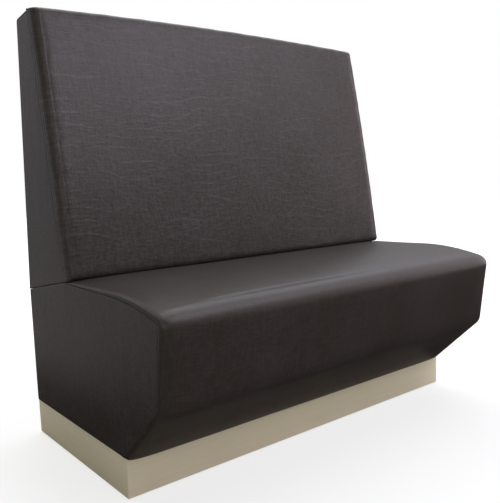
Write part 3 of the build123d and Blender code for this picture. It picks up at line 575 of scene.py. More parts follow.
def cover_surface(tree, creased, streaked, grained):
    """Dark brown coated fabric: a leather grain crinkled by fine veins, long wandering creases, and
    faint streaks along the weave of its backing."""
    uv = flat_place(tree)
    clouds = noise(tree, uv, 5.0, 4.0, 0.55)
    mottle = noise(tree, uv, (85.0, 120.0, 1), 4.0, 0.65)
    speckle = noise(tree, uv, 330.0, 2.0, 0.6)
    streaks = noise(tree, uv, (75.0, 3.5, 1))
    weft = noise(tree, uv, (36.0, 170.0, 1), 3.0, 0.6)
    warp = noise(tree, uv, (190.0, 30.0, 1), 3.0, 0.6)
    pebbles = band(tree, cells(tree, uv, 430.0), 0.0, 0.28)
    bent = vectors(tree, "MULTIPLY_ADD", noise(tree, uv, 45.0, result="Color"), (0.014, 0.014, 0.0), uv)
    net = cells(tree, stretched(tree, bent, (75.0, 130.0, 1)), 1.0)
    veins = maths(tree, "MULTIPLY", band(tree, net, 0.11, 0.0), band(tree, clouds, 0.25, 0.7))
    creases = weighted(
        tree,
        (crease_lines(tree, uv, 1.7, 0.036, 3.6, 0.15), 0.6),
        (crease_lines(tree, uv, 7.3, 0.023, 4.6, 0.2), 0.4),
        (crease_lines(tree, uv, 12.1, 0.041, 5.5, 0.12), 0.4),
    )
    tone = weighted(
        tree,
        (band(tree, clouds, 0.3, 0.75), 0.16),
        (band(tree, mottle, 0.30, 0.72), 0.30 * grained),
        (band(tree, weft, 0.35, 0.70), 0.30 * grained),
        (band(tree, warp, 0.35, 0.70), 0.30 * grained),
        (band(tree, speckle, 0.40, 0.7), 0.16 * grained),
        (veins, 0.16 * grained),
        (creases, 0.36 * creased),
        (band(tree, streaks, 0.45, 0.72), 0.35 * streaked),
    )
    tone = maths(tree, "SUBTRACT", tone, 0.26 * grained, clamp=True)
    height = weighted(
        tree,
        (pebbles, 0.30),
        (speckle, 0.6),
        (mottle, 1.8 * grained),
        (weft, 1.1 * grained),
        (warp, 1.1 * grained),
        (veins, 0.35 * grained),
        (creases, 1.3 * creased),
        (streaks, 1.6 * streaked),
        (clouds, 2.0),
    )
    rough = weighted(tree, (mottle, 0.22), (creases, -0.04 * creased))
    # hands and clothes polish the upper parts; the cover stays dull towards the hem
    polish = band(tree, axis(tree, own_place(tree), "Z"), 0.15, 0.30)
    return {
        # scratches and creases take the rubbed tone, whose blue-grey tint is a painted sheen
        "Base Color": blend(tree, tone, look().cover_colour, look().cover_worn_and_sheen),
        "Roughness": maths(tree, "ADD", rough, look().cover_gloss - 0.11),
        "Normal": bump(tree, height, 0.6, 0.00035),
        "Specular IOR Level": maths(tree, "MULTIPLY_ADD", polish, 0.42, 0.08),
        "Sheen Weight": 0.03,
        "Sheen Roughness": 0.45,
        "Sheen Tint": (0.75, 0.72, 0.85, 1.0),
    }


def board_surface(tree):
    """Laminated plinth board: even beige, with a faint long grain and scuffs near the floor."""
    place = own_place(tree)
    grain = noise(tree, place, (3.0, 3.0, 160.0), 4.0, 0.55)
    clouds = noise(tree, place, 6.0, 3.0)
    scuffs = noise(tree, place, (22.0, 22.0, 60.0), 5.0, 0.7)
    low = band(tree, axis(tree, place, "Z"), 0.035, 0.0)
    beige = look().plinth_colour
    tone = weighted(tree, (grain, 0.5), (clouds, 0.5))
    clean = blend(tree, band(tree, tone, 0.38, 0.66), beige, darker(beige, 0.95))
    worn = maths(tree, "MULTIPLY", maths(tree, "MULTIPLY", band(tree, scuffs, 0.58, 0.75), low), 0.5)
    return {
        "Base Color": blend(tree, worn, clean, darker(beige, 0.75)),
        "Roughness": maths(tree, "MULTIPLY_ADD", clouds, 0.2, 0.33),
        "Normal": bump(tree, grain, 0.05, 0.0003),
    }


def timber_surface(tree, light, dark, line_scale, ring_scale):
    """Bare wood: long fibres along X and slow growth bands."""
    place = own_place(tree)
    fibres = noise(tree, place, (2.5, line_scale, line_scale), 5.0, 0.6)
    rings = bands(tree, stretched(tree, place, (1.0, 8.0, 10.0)), ring_scale, 6.0, 3.0, "Z")
    tone = weighted(tree, (fibres, 0.6), (rings, 0.4))
    return {
        "Base Color": blend(tree, band(tree, tone, 0.3, 0.75), light, dark),
        "Roughness": maths(tree, "MULTIPLY_ADD", fibres, 0.2, 0.5),
        "Normal": bump(tree, fibres, 0.3, 0.0004),
    }


def metal_surface(tree, colour, roughness, scratch):
    """Plain steel: one tone with fine drawn lines and an uneven gloss."""
    place = own_place(tree)
    drawn = noise(tree, place, (40.0, 900.0, 900.0))
    clouds = noise(tree, place, 60.0, 3.0, 0.6)
    return {
        "Base Color": blend(tree, band(tree, clouds, 0.35, 0.7), colour, darker(colour, 0.75)),
        "Roughness": maths(tree, "MULTIPLY_ADD", clouds, 0.15, roughness),
        "Normal": bump(tree, drawn, scratch, 0.0001),
        "Metallic": 1.0,
    }


def foam_surface(tree):
    """Cut upholstery foam: pale yellow with open pores."""
    place = own_place(tree)
    pores = cells(tree, place, 650.0, "F1")
    clouds = noise(tree, place, 8.0, 3.0)
    tone = weighted(tree, (pores, 0.5), (clouds, 0.5))
    return {
        "Base Color": blend(tree, band(tree, tone, 0.3, 0.7), (0.62, 0.53, 0.33), (0.76, 0.69, 0.50)),
        "Roughness": 0.92,
        "Normal": bump(tree, pores, 0.6, 0.0006),
    }


def cloth_surface(tree):
    """Thin black woven or spun cloth: two crossing sets of fine threads."""
    place = flat_place(tree)
    weave = maths(tree, "MULTIPLY", *(bands(tree, place, 220.0, 1.5, 2.0, way) for way in "XY"))
    return {
        "Base Color": blend(tree, weave, (0.008, 0.008, 0.008), (0.035, 0.034, 0.033)),
        "Roughness": 0.9,
        "Normal": bump(tree, weave, 0.5, 0.0003),
    }


def plastic_surface(tree):
    """Dark plastic with a fine moulded grain."""
    grain = noise(tree, own_place(tree), 500.0, 3.0, 0.6)
    return {
        "Base Color": blend(tree, grain, (0.012, 0.011, 0.010), (0.024, 0.022, 0.020)),
        "Roughness": 0.55,
        "Normal": bump(tree, grain, 0.3, 0.0002),
    }


# each finish: its material's name, the function for its surface and what that is given
FINISHES = {
    # the back pad's strong crease and grain weights also give it most of the painted blue-grey sheen
    "brown_vinyl": ("brown_cover", cover_surface, (1.0, 0.3, 1.0)),
    "brown_vinyl_side": ("brown_cover_side", cover_surface, (0.12, 0.3, 0.75)),
    "brown_vinyl_seat": ("brown_cover_seat", cover_surface, (0.15, 0.15, 0.4)),
    "foam": ("cut_foam", foam_surface, ()),
    "black_cloth": ("black_cloth", cloth_surface, ()),
    "beige_laminate": ("beige_laminate", board_surface, ()),
    "plywood": ("plywood", timber_surface, ((0.56, 0.38, 0.20), (0.40, 0.25, 0.12), 60.0, 3.0)),
    "softwood": ("softwood", timber_surface, ((0.66, 0.47, 0.26), (0.50, 0.31, 0.14), 90.0, 5.0)),
    "spring_wire": ("spring_wire", metal_surface, ((0.30, 0.30, 0.31), 0.38, 0.2)),
    "zinc_steel": ("zinc_steel", metal_surface, ((0.62, 0.63, 0.64), 0.30, 0.15)),
    "glide_plastic": ("glide_plastic", plastic_surface, ()),
}
MADE = {}


def finish_of(key):
    """The material of a finish, made when it is first asked for."""
    if key not in MADE:
        name, surface, values = FINISHES[key]
        MADE[key] = bpy.data.materials.new(name)
        tree = cleared(MADE[key])
        shader = node(tree, "ShaderNodeBsdfPrincipled", surface(tree, *values))
        node(tree, "ShaderNodeOutputMaterial", {"Surface": shader.outputs["BSDF"]})
    return MADE[key]


# soft work

PUFF_FRAMES, SMOOTHING_PASSES = 20, 16
PUFF_RULES = {
    "use_pressure": True, "uniform_pressure_force": 1.2, "vertex_group_mass": "seam",
    "quality": 5, "mass": 0.4, "tension_stiffness": 25, "compression_stiffness": 25,
    "shear_stiffness": 12, "bending_stiffness": 1.5,
}


def rows_of(items, key):
    """One vector for each item of a mesh, as the rows of an array."""
    values = np.zeros(len(items) * 3, np.float32)
    items.foreach_get(key, values)
    return values.reshape(-1, 3)


def held_edges(shape, ends, start, finish):
    """A mask over a cover's grid: its outer stations, and its first and last points in side view."""
    held = np.zeros(shape, bool)
    held[:ends] = held[-ends:] = True
    held[:, :start] = held[:, -finish:] = True
    return held


def puff(piece, held, cap):
    """Lets a cover swell between its seams: a copy held there is blown out by cloth pressure, and the
    outward part of its move, bent towards the cap and smoothed over the grid, is added to the cover."""
    scene, mesh = bpy.context.scene, piece.data
    before, normals = rows_of(mesh.vertices, "co"), rows_of(mesh.vertex_normals, "vector")
    copy = link("puff_copy", mesh.copy())
    group = copy.vertex_groups.new(name="seam")
    group.add([int(i) for i in np.nonzero(held.ravel())[0]], 1.0, "REPLACE")
    cloth = copy.modifiers.new("cloth", "CLOTH")
    tuned(cloth.settings, **PUFF_RULES).effector_weights.gravity = 0.0
    tuned(cloth.point_cache, frame_start=1, frame_end=PUFF_FRAMES)
    for moment in range(1, PUFF_FRAMES + 1):
        scene.frame_set(moment)
    shown = copy.evaluated_get(bpy.context.evaluated_depsgraph_get()).to_mesh()
    after = rows_of(shown.vertices, "co")
    copy.to_mesh_clear()
    bpy.data.objects.remove(copy)
    scene.frame_set(1)
    swell = ((after - before) * normals).sum(1).reshape(held.shape)
    swell = cap * np.tanh(np.clip(swell, 0, None) / cap)
    for _ in range(SMOOTHING_PASSES):
        wide = np.pad(np.where(held, 0, swell), 1, mode="edge")
        middle = wide[1:-1, 1:-1]
        swell = (wide[:-2, 1:-1] + wide[2:, 1:-1] + wide[1:-1, :-2] + wide[1:-1, 2:] + 2 * middle) / 6
    swell = np.where(held, 0, swell).ravel()
    moved = before + normals * swell[:, None]
    mesh.vertices.foreach_set("co", moved.astype(np.float32).ravel())
    mesh.update()


def seam_ends(radius):
    """The way a cover turns into a side seam: how far each station is short of the bench's end, how deep
    it lies, and whether it is on the quarter turn or on the return behind the next cover's edge."""
    come, to_go = quarter_turn(8)
    short = np.concatenate([[0.006, 0.003, 0.0012], radius * to_go[::-1]])
    deep = np.concatenate([radius + np.array([0.0009, 0.0007, 0.0004]), radius * come[::-1]])
    return short, deep, deep <= radius * 1.0001


# the pieces


class BOOTH_OT_seat_cover(bpy.types.Operator):
    """Cover of the seat: tucked behind the foam, over the top, round the nose and down to the hem"""

    bl_idname = "booth.seat_cover"
    bl_label = "Seat cover"

    def execute(self, context):
        """The seat's side-view line swept along X with its crown, drawn in at both ends by the seam's
        roll, which is wider below the nose. Small waves stand along the side seams and a small tuck lies
        at each end of the nose."""
        radius = sizes().seam_roll
        short, deep, turned = seam_ends(radius)
        x_mid = middle_places(radius * 2.6, 0.0025, 0.008, 0.05)
        x_end = np.where(turned, -HALF + short * 1.6, -HALF)
        base = seat_profile(both_ends(x_end, x_mid, -1))
        run = along(base[len(short) + len(x_mid) // 2])
        past_nose = run - run[NOSE_ROW]
        below = front_share(past_nose)
        roll = radius * (1 + 0.8 * below)
        turned, short, deep = turned[:, None], short[:, None], deep[:, None]
        off = (HALF - np.abs(x_mid))[:, None]
        x_left = -HALF + np.where(turned, short / radius * roll, short)
        x = both_ends(x_left, np.broadcast_to(x_mid[:, None], (len(x_mid), len(run))), -1)
        inset_left = np.where(turned, deep / radius * roll, deep - radius + roll)
        ridge = 0.0006 * bell(off, 0.010, 0.006)
        waves = 0.0004 * ripple(run, 3, 0.045) * np.exp(-off / 0.028)
        slow = ripples(0.0005, x_mid, run, 5, 0.45, 0.30)
        tuck = 0.0022 * bell(past_nose, 0.008, 0.008) * bell(off, 0.009, 0.007)
        inset = both_ends(inset_left, -ridge * (1 - below) + waves + slow + tuck)
        points = swept(x, offset(base, inset))
        piece = cover("seat_upholstery", points, coordinates(x, run), (0, -0.4, 1), "brown_vinyl_seat")
        puff(piece, held_edges(x.shape, len(short) + 2, 12, 8), 0.0018)
        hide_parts("seat_cover")
        return {"FINISHED"}


def panel(name, sign, edges, bulge, roll, seed, plain_front=0.0):
    """A side cover spanned between four side-view edge lines (bottom, right, top and left): each point is
    the sum of its two spans less the span of the corners. The panel bulges in the middle and rolls
    inwards along its edges, less at a plain front. A last row all round runs straight in."""
    depth = sizes().seam_depth
    bottom, right, top, left = edges
    s, t = (crowded(1.0, *(np.array((0.022, 0.0022, 0.011)) / along(line)[-1])) for line in (bottom, left))
    low, high = resample(bottom, s), resample(top, s)
    front, rear = resample(left, t), resample(right, t)
    S, T = s[:, None, None], t[None, :, None]
    spans = low[:, None] * (1 - T) + high[:, None] * T + front[None] * (1 - S) + rear[None] * S
    corners = low[0] * (1 - S) * (1 - T) + low[-1] * S * (1 - T)
    corners = corners + high[0] * (1 - S) * T + high[-1] * S * T
    yz = spans - corners
    width = np.linalg.norm(yz[-1] - yz[0], axis=-1)[None]
    height = np.linalg.norm(yz[:, -1] - yz[:, 0], axis=-1)[:, None]
    S, T = s[:, None], t[None]
    from_front = S * width
    gap_s, gap_t = np.minimum(from_front, (1 - S) * width), np.minimum(T * height, (1 - T) * height)
    edge = np.clip(np.hypot(np.clip(roll - gap_s, 0, None), np.clip(roll - gap_t, 0, None)), 0, roll)
    fall = depth * (1 - np.sqrt(np.clip(1 - (edge / roll) ** 2, 0, None)))
    fall *= 1 - plain_front * bell(from_front, 0, 0.012)
    arch_s, arch_t = (np.clip(1 - (2 * share - 1) ** 2, 0, 1) ** 0.5 for share in (S, T))
    wave = ripples(0.00025, yz[..., 0], yz[..., 1], seed, 0.05, 0.4)
    wave *= np.clip(np.minimum(gap_s, gap_t) / 0.012, 0, 1)
    x = np.pad(sign * (HALF - fall + bulge * arch_s * arch_t + wave), 1, mode="edge")
    yz = np.pad(yz, ((1, 1), (1, 1), (0, 0)), mode="edge")
    for border in (np.s_[0], np.s_[-1], np.s_[:, 0], np.s_[:, -1]):
        x[border] = sign * (HALF - depth - 0.005)
    uv = coordinates(yz[..., 0] + (x - sign * HALF) * 0.5, yz[..., 1])
    return cover(name, swept(x, yz), uv, (sign, 0, 0), "brown_vinyl_side")


class BOOTH_OT_seat_sides(bpy.types.Operator):
    """Flat covers of the seat's two sides and its rear"""

    bl_idname = "booth.seat_sides"
    bl_label = "Seat side and rear covers"

    def execute(self, context):
        """Each side lies between its hem, its rear edge, its top line with the sloping joint behind, and
        its front line, a gap short of the seat cover. The rear cover is a plain panel, a little full."""
        gap, under_joint = 0.0011, 0.0006
        roll = sizes().seam_roll
        base = seat_profile(np.array([HALF * 0.999999]))
        run = along(base[0])
        inset = roll + gap + roll * 0.8 * front_share(run - run[NOSE_ROW])
        drawn = offset(base, inset)[0]
        bottom_z, rear_y = PLINTH_TOP + 0.0006, REAR - 0.0012
        front = drawn[NOSE_ROW:][::-1]
        front = front[front[:, 1] > bottom_z + 0.002]
        hem_y = front[0, 0] + (front[0, 1] - bottom_z) * 0.9
        front = np.vstack([[hem_y, bottom_z], front])
        upper = drawn[: NOSE_ROW + 1][::-1]
        upper = upper[upper[:, 0] < BEARER - 0.022]
        joint = np.array([[y, joint_height(y) - under_joint] for y in (BEARER - 0.004, rear_y)])
        top = np.vstack([upper, joint])
        top[0] = front[-1]
        bottom = np.array([[hem_y, bottom_z], [rear_y, bottom_z]])
        rear = np.array([[rear_y, bottom_z], joint[1]])
        for word, sign in (("left", -1), ("right", 1)):
            edges = (bottom, rear, top, front)
            piece = panel(f"seat_side_upholstery_{word}", sign, edges, 0.0025, 0.0045, 11 + sign, 0.75)
            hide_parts(f"seat_side_cover_{word}")

        top_z = joint_height(REAR) - 0.0001
        x = crowded(2 * HALF - 0.006, 0.02, 0.003, 0.02) - HALF + 0.003
        z = bottom_z + crowded(top_z - bottom_z, 0.02, 0.003, 0.02)
        off = np.minimum(np.minimum(x + HALF, HALF - x)[:, None], np.minimum(z - bottom_z, top_z - z)[None])
        fall = 0.0016 * np.clip(1 - off / 0.005, 0, 1) ** 2
        wave = ripples(0.0003, x, z, 21, 0.3, 0.2)
        y = np.pad(REAR - fall + wave * np.clip(off / 0.02, 0, 1), 1, constant_values=REAR - 0.007)
        x, z = np.pad(x, 1, mode="edge")[:, None], np.pad(z, 1, mode="edge")[None]
        points = coordinates(x, y, z)
        piece = cover("seat_rear_upholstery", points, coordinates(x, z), (0, 1, 0), "brown_vinyl_side")
        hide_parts("seat_rear_cover")
        return {"FINISHED"}


class BOOTH_OT_back_pad(bpy.types.Operator):
    """Padded face of the back: a bowed pad with rolled edges, sewn to the sides and the top"""

    bl_idname = "booth.back_pad"
    bl_label = "Back pad cover"

    def execute(self, context):
        """The pad's side-view line swept along X. Near the ends the face draws back by a quarter turn
        of an ellipse, and the last stations run straight back to the seam, where they dip."""
        s = sizes()
        come, to_go = quarter_turn(18)
        middle = middle_places(s.side_roll_width + 0.0022, 0.003, 0.009, 0.06)
        x = both_ends(-HALF + s.side_roll_width * come, middle, -1)
        edge = both_ends(s.side_roll_depth * to_go, np.zeros(len(middle)))
        lines, seam_foot = pad_sections(x, edge)
        run = along(lines[len(x) // 2])
        off = (HALF - np.abs(x))[:, None]
        waves = 0.0009 * ripple(run, 31, 0.07) * bell(off, 0.016, 0.018)
        low_waves = 0.0008 * ripple(x, 33, 0.09)[:, None] * bell(run, 0.045, 0.022)
        high_waves = 0.0007 * ripple(x, 34, 0.10)[:, None] * bell(run[-1] - 0.045 - run, 0, 0.022)
        slow = ripples(0.0009, x, run, 35, 0.50, 0.35) * np.clip(off / 0.1, 0, 1)
        lines = offset(lines, waves + low_waves + high_waves + slow)

        # the wall behind the roll: its share of the way back to the seam, and its dip at the seam
        share = np.linspace(1, 0, 9, endpoint=False)
        wall = np.repeat(lines[:1], len(share), axis=0)
        wall[..., 0] += (on_lean(seam_foot, wall[..., 1]) - wall[..., 0]) * share[:, None] * 0.985
        wall = np.concatenate([wall[:1], wall])
        dip = np.clip((share - 0.8) / 0.2, 0, 1) ** 2 * 0.0016
        dip[-1] = 0.0014
        lines = both_ends(wall, lines)
        x = both_ends(-HALF + np.array([0.0076, *dip]), x, -1) * (1 + PAD_LAP / HALF)
        dips = np.zeros(lines.shape[1])
        dips[:3] = np.array([1.0, 0.35, 0.08]) * s.seam_depth
        dips[-3:] = dips[2::-1]
        points = swept(x, offset(lines, -dips))
        uv = coordinates(points[..., 0], run)
        piece = cover("back_pad_upholstery", points, uv, (0, -1, 0.17), "brown_vinyl")
        puff(piece, held_edges(points.shape[:2], 10, 6, 6), 0.0022)
        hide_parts("back_front_cover")
        return {"FINISHED"}


class BOOTH_OT_back_covers(bpy.types.Operator):
    """Covers of the back behind the pad: its top and rear in one piece, and its two narrow sides"""

    bl_idname = "booth.back_covers"
    bl_label = "Back top, rear and side covers"

    def execute(self, context):
        """The top and rear follow one side-view line, swept along X under the crowned top line. Each side
        lies between its seam, its rear edge, its top and the joint."""
        s = sizes()
        up, into, face = back_lines()
        joint_rear = joint_height(REAR)
        fall, lean = math.radians(6), math.radians(4.1)
        short, deep, _ = seam_ends(s.seam_roll)
        x_mid = middle_places(s.seam_roll * 2.6, 0.003, 0.012, 0.04)
        x = both_ends(-HALF + short, x_mid, -1)
        inset = both_ends(deep, np.zeros(len(x_mid)))
        top_z = s.back_height + crown_at(x)
        front = coordinates(on_lean(face + s.pad_depth * into, top_z) + 0.0008, top_z)
        along_top = np.array([math.cos(fall), -math.sin(fall)])
        up_rear = np.array([-math.sin(lean), math.cos(lean)])
        corner = crossing(front, along_top, np.array([REAR, joint_rear]), up_rear)
        foot = np.broadcast_to([REAR - 0.0002, joint_rear + 0.0001], front.shape)
        under = foot + np.array([-0.006, 0.006 * math.tan(s.recline)])
        corners = np.stack([front, corner, foot, under], axis=1)
        lines = rounded(corners, [TOP_CORNER, 0.001], TOP_STEPS, TOP_ARCS)
        run = along(lines[len(x) // 2])
        dip = s.seam_depth * np.clip(1 - run / 0.004, 0, 1) ** 2
        wave = ripples(0.0005, x, run, 41, 0.35, 0.3)
        wave *= np.clip((HALF - np.abs(x)) / 0.05, 0, 1)[:, None] * np.clip(run / 0.03, 0, 1)
        points = swept(x, offset(lines, -(inset[:, None] + dip + wave)))
        uv = coordinates(x[:, None], run)
        piece = cover("back_rear_upholstery", points, uv, (0, 1, 0.5), "brown_vinyl_side")
        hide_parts("back_rear_cover")

        drop = s.seam_roll + 0.0011
        base = rounded(corners[:1, :3], [TOP_CORNER], TOP_STEPS[:2], TOP_ARCS)
        outline = offset(base, -drop)[0]
        corner_row = TOP_STEPS[0] + TOP_ARCS[0] // 2
        top = outline[: corner_row + 1]
        rear_line = outline[corner_row:][::-1]
        rear_line = rear_line[rear_line[:, 1] > joint_rear + 0.003]
        start = face + 0.0008 * up + (s.pad_depth + 0.0008) * into
        low_rear = np.array([REAR - drop + 0.0002, joint_height(REAR - drop) + 0.0006])
        front_line, bottom = np.vstack([start, top[0]]), np.vstack([start, low_rear])
        rear_line = np.vstack([low_rear, rear_line])
        rear_line[-1] = top[-1]
        for word, sign in (("left", -1), ("right", 1)):
            edges = (bottom, rear_line, top, front_line)
            side = panel(f"back_side_upholstery_{word}", sign, edges, 0.0006, 0.004, 51 + sign)
            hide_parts(f"back_side_cover_{word}")
        return {"FINISHED"}


class BOOTH_OT_foams(bpy.types.Operator):
    """Foam pieces under the covers"""

    bl_idname = "booth.foams"
    bl_label = "Foam under the covers"

    def execute(self, context):
        """Each foam is a closed body: the cover's side-view line at a small depth, closed along the
        boards behind it, swept along X with the same crown."""
        s = sizes()
        skin = s.cover_thickness + 0.0018
        panel_x = HALF - s.cover_thickness - 0.005
        x = np.clip(middle_places(0.0066, 0.006, 0.05, 0.06), -panel_x, panel_x)
        low = DECK + 0.0002
        corners = parallel(seat_corners(rise_at(x)), skin)
        radii = seat_radii(seat_corners(rise_at(x)), rise_at(x), skin)
        front_low = level_cut(corners, 4, low)
        first = coordinates(corners[:, 0, 0], low)
        path = np.concatenate([first[:, None], corners[:, 1:5], front_low[:, None]], axis=1)
        top = rounded(path, radii[:, :4], (4, 3, 6, 4, 4), (4, 5, 12, 6))
        ring = np.concatenate([top, straight_rows(front_low, first, top.shape[1])[:, 1:]], axis=1)
        piece = closed_form("seat_foam_core", x, ring)
        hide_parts("seat_foam")

        split, hem_z = low - 0.0004, PLINTH_TOP + 0.0022
        path = [level_cut(corners, 4, split), corners[:, 5], coordinates(corners[:, 6, 0], hem_z)]
        outer = rounded(np.stack(path, axis=1), radii[:, 4:5], (6, 8), (6,))
        boards = parallel(seat_corners(np.zeros_like(x)), skin + 0.0118)
        path = [level_cut(boards, 5, hem_z), boards[:, 5], level_cut(boards, 4, split)]
        inner = rounded(np.stack(path, axis=1), [0.002], (8, 6), (6,))
        piece = closed_form("seat_front_foam", x, np.concatenate([outer, inner], axis=1))
        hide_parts("seat_front_pad")

        come, to_go = quarter_turn(7)
        middle = np.linspace(-0.56, 0.56, 23)
        x = both_ends(-(HALF - skin - (s.side_roll_width - skin) * come), middle, -1)
        edge = both_ends(s.side_roll_depth * to_go, np.zeros(len(middle)))
        lines = pad_sections(x, edge, skin)[0][:, ::4]
        back = straight_rows(lines[:, -1], lines[:, 0], lines.shape[1])[:, 1:]
        piece = closed_form("back_foam_core", x, np.concatenate([lines, back], axis=1))
        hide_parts("back_foam")
        return {"FINISHED"}


def foam_copy(source):
    """A merged copy of a packed foam's mesh with a softened edge, for a foam of plain shape."""
    mesh = frame["nodes"][source].data.copy()
    piece = link(f"{source}_foam", mesh)
    work = bmesh.new()
    work.from_mesh(mesh)
    bmesh.ops.remove_doubles(work, verts=work.verts, dist=0.00002)
    bmesh.ops.recalc_face_normals(work, faces=work.faces)
    bmesh.ops.dissolve_limit(work, angle_limit=math.radians(1), verts=work.verts, edges=work.edges)
    layer = work.loops.layers.uv.new(UV_NAME)
    for face in work.faces:
        for loop in face.loops:
            loop[layer].uv = (loop.vert.co.y + loop.vert.co.x, loop.vert.co.z)
    work.to_mesh(mesh)
    work.free()
    mesh.materials.clear()
    mesh.materials.append(finish_of("foam"))
    tuned(piece.modifiers.new("soft edge", "BEVEL"), width=0.0012, segments=2, limit_method="ANGLE")
    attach(piece, BODY)
    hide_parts(source)
    return piece


class BOOTH_OT_side_foams(bpy.types.Operator):
    """Thin foam under the side covers and the strip under the back's top"""

    bl_idname = "booth.side_foams"
    bl_label = "Side and top foam"

    def execute(self, context):
        """Thin sheets of foam keep the plain outline of their boards, with softened edges."""
        pads = [f"{part}_side_pad_{word}" for part in ("seat", "back") for word in ("left", "right")]
        for source in (*pads, "back_top_pad"):
            piece = foam_copy(source)
        return {"FINISHED"}


class BOOTH_OT_cloths(bpy.types.Operator):
    """Cloth over the springs and under the plinth"""

    bl_idname = "booth.cloths"
    bl_label = "Spring cloth and dust cloth"

    def execute(self, context):
        """Each cloth is a level sheet between the boards. The one on the springs sags a little, in
        crossed sine arches."""
        for name, source, sag, holder in (
            ("spring_cloth", "spring_cover_sheet", 0.0003, "spring_rail_front"),
            ("dust_cloth", "dust_cover", 0.0, "plinth_front_board"),
        ):
            low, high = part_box(source)
            x, y = np.linspace(low.x, high.x, 60)[:, None], np.linspace(low.y, high.y, 30)[None]
            arch_x, arch_y = (np.sin(np.pi * np.linspace(0, 1, count)) for count in (60, 30))
            points = coordinates(x, y, high.z - sag * (arch_x[:, None] * arch_y[None]))
            uv, cloth = coordinates(x, y), "black_cloth"
            piece = grid_object(name, points, uv, (0, 0, 1), cloth, high.z - low.z)
            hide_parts(source)
        return {"FINISHED"}


class BOOTH_OT_boards(bpy.types.Operator):
    """Finishes of the boards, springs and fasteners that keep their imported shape"""

    bl_idname = "booth.boards"
    bl_label = "Boards, springs and fasteners"

    def execute(self, context):
        """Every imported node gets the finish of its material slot."""
        for name, item in frame["nodes"].items():
            item.data.materials.clear()
            item.data.materials.append(finish_of(SLOT_OF[name]))
        return {"FINISHED"}


# the stage

CAMERA_PLACE = (-1.223, -1.438, 0.729)
CAMERA_AZIMUTH, CAMERA_PITCH, CAMERA_ROLL = math.radians(38.68), math.radians(-6.6), math.radians(-1.96)
CAMERA_LENS = 44.75
FLOOR_REACH = 14
WHITE = (1, 1, 1, 1)
# the studio's soft light: heading, tightness and colour of each lobe
SKY = (
    ((0.3, 0.2, 0.93), 8, (2.2, 2.25, 2.2)),
    ((0.95, -0.2, 0.15), 10, (2.2, 1.95, 2.1)),
    ((0.2, 0.75, 0.62), 10, (1.8, 1.8, 1.75)),
    ((-0.35, 0.92, 0.12), 14, (0.3, 0.3, 0.35)),
    ((-0.85, 0.5, 0.2), 10, (0.15, 0.15, 0.15)),
    ((-0.64, -0.74, 0.2), 10, (1.0, 0.96, 0.9)),
    ((0.62, 0.2, 0.75), 25, (1.1, 1.2, 1.6)),
)


def mixed(tree, factor, a, b):
    """Two shaders mixed by a factor."""
    return node(tree, "ShaderNodeMixShader", {0: factor, 1: a, 2: b}).outputs[0]


def ray_is(tree, kind):
    """Whether a ray is of a kind."""
    return node(tree, "ShaderNodeLightPath").outputs[f"Is {kind} Ray"]


def diffuse(tree, colour):
    """A plain matt surface."""
    return node(tree, "ShaderNodeBsdfDiffuse", {"Color": colour}).outputs[0]


def glow(tree, kind, colour, strength):
    """An even light from a surface or from the background."""
    return node(tree, kind, {"Color": colour, "Strength": strength}).outputs[0]


def sky_light(tree):
    """The studio light from every direction: a sum of lobes, each an exponential of how nearly the
    direction agrees with the lobe's own."""
    way = node(tree, "ShaderNodeTexCoord").outputs["Generated"]
    total = (0.0, 0.0, 0.0)
    for heading, tightness, colour in SKY:
        agree = vectors(tree, "DOT_PRODUCT", way, tuple(unit(np.array(heading))), result="Value")
        lobe = maths(tree, "EXPONENT", maths(tree, "MULTIPLY_ADD", agree, tightness, -tightness))
        total = vectors(tree, "MULTIPLY_ADD", lobe, colour, total)
    return total


def floor_look(tree):
    """The floor's shader: white to the camera with a share of the bench's shade near it, pale where light
    bounces off it, and in reflections a painted shade, dark in front and pale towards the rear."""
    lit = diffuse(tree, (0.68, 0.68, 0.68, 1))
    place = own_place(tree)
    near = band(tree, vectors(tree, "LENGTH", place, result="Value"), 1.9, 0.6)
    plain = glow(tree, "ShaderNodeEmission", WHITE, 1.32)
    shown = mixed(tree, maths(tree, "MULTIPLY", near, 0.45), plain, lit)
    across = maths(tree, "MULTIPLY", axis(tree, place, "X"), 0.8)
    behind = maths(tree, "SUBTRACT", axis(tree, place, "Y"), across)
    # painted shade seen only in reflections: dark in front of the bench, pale towards the rear
    reflected_shade = blend(tree, band(tree, behind, 0.7, 2.2), (0.018, 0.015, 0.011), (0.33, 0.32, 0.31))
    bounced = mixed(tree, ray_is(tree, "Glossy"), lit, diffuse(tree, reflected_shade))
    return mixed(tree, ray_is(tree, "Camera"), bounced, shown)


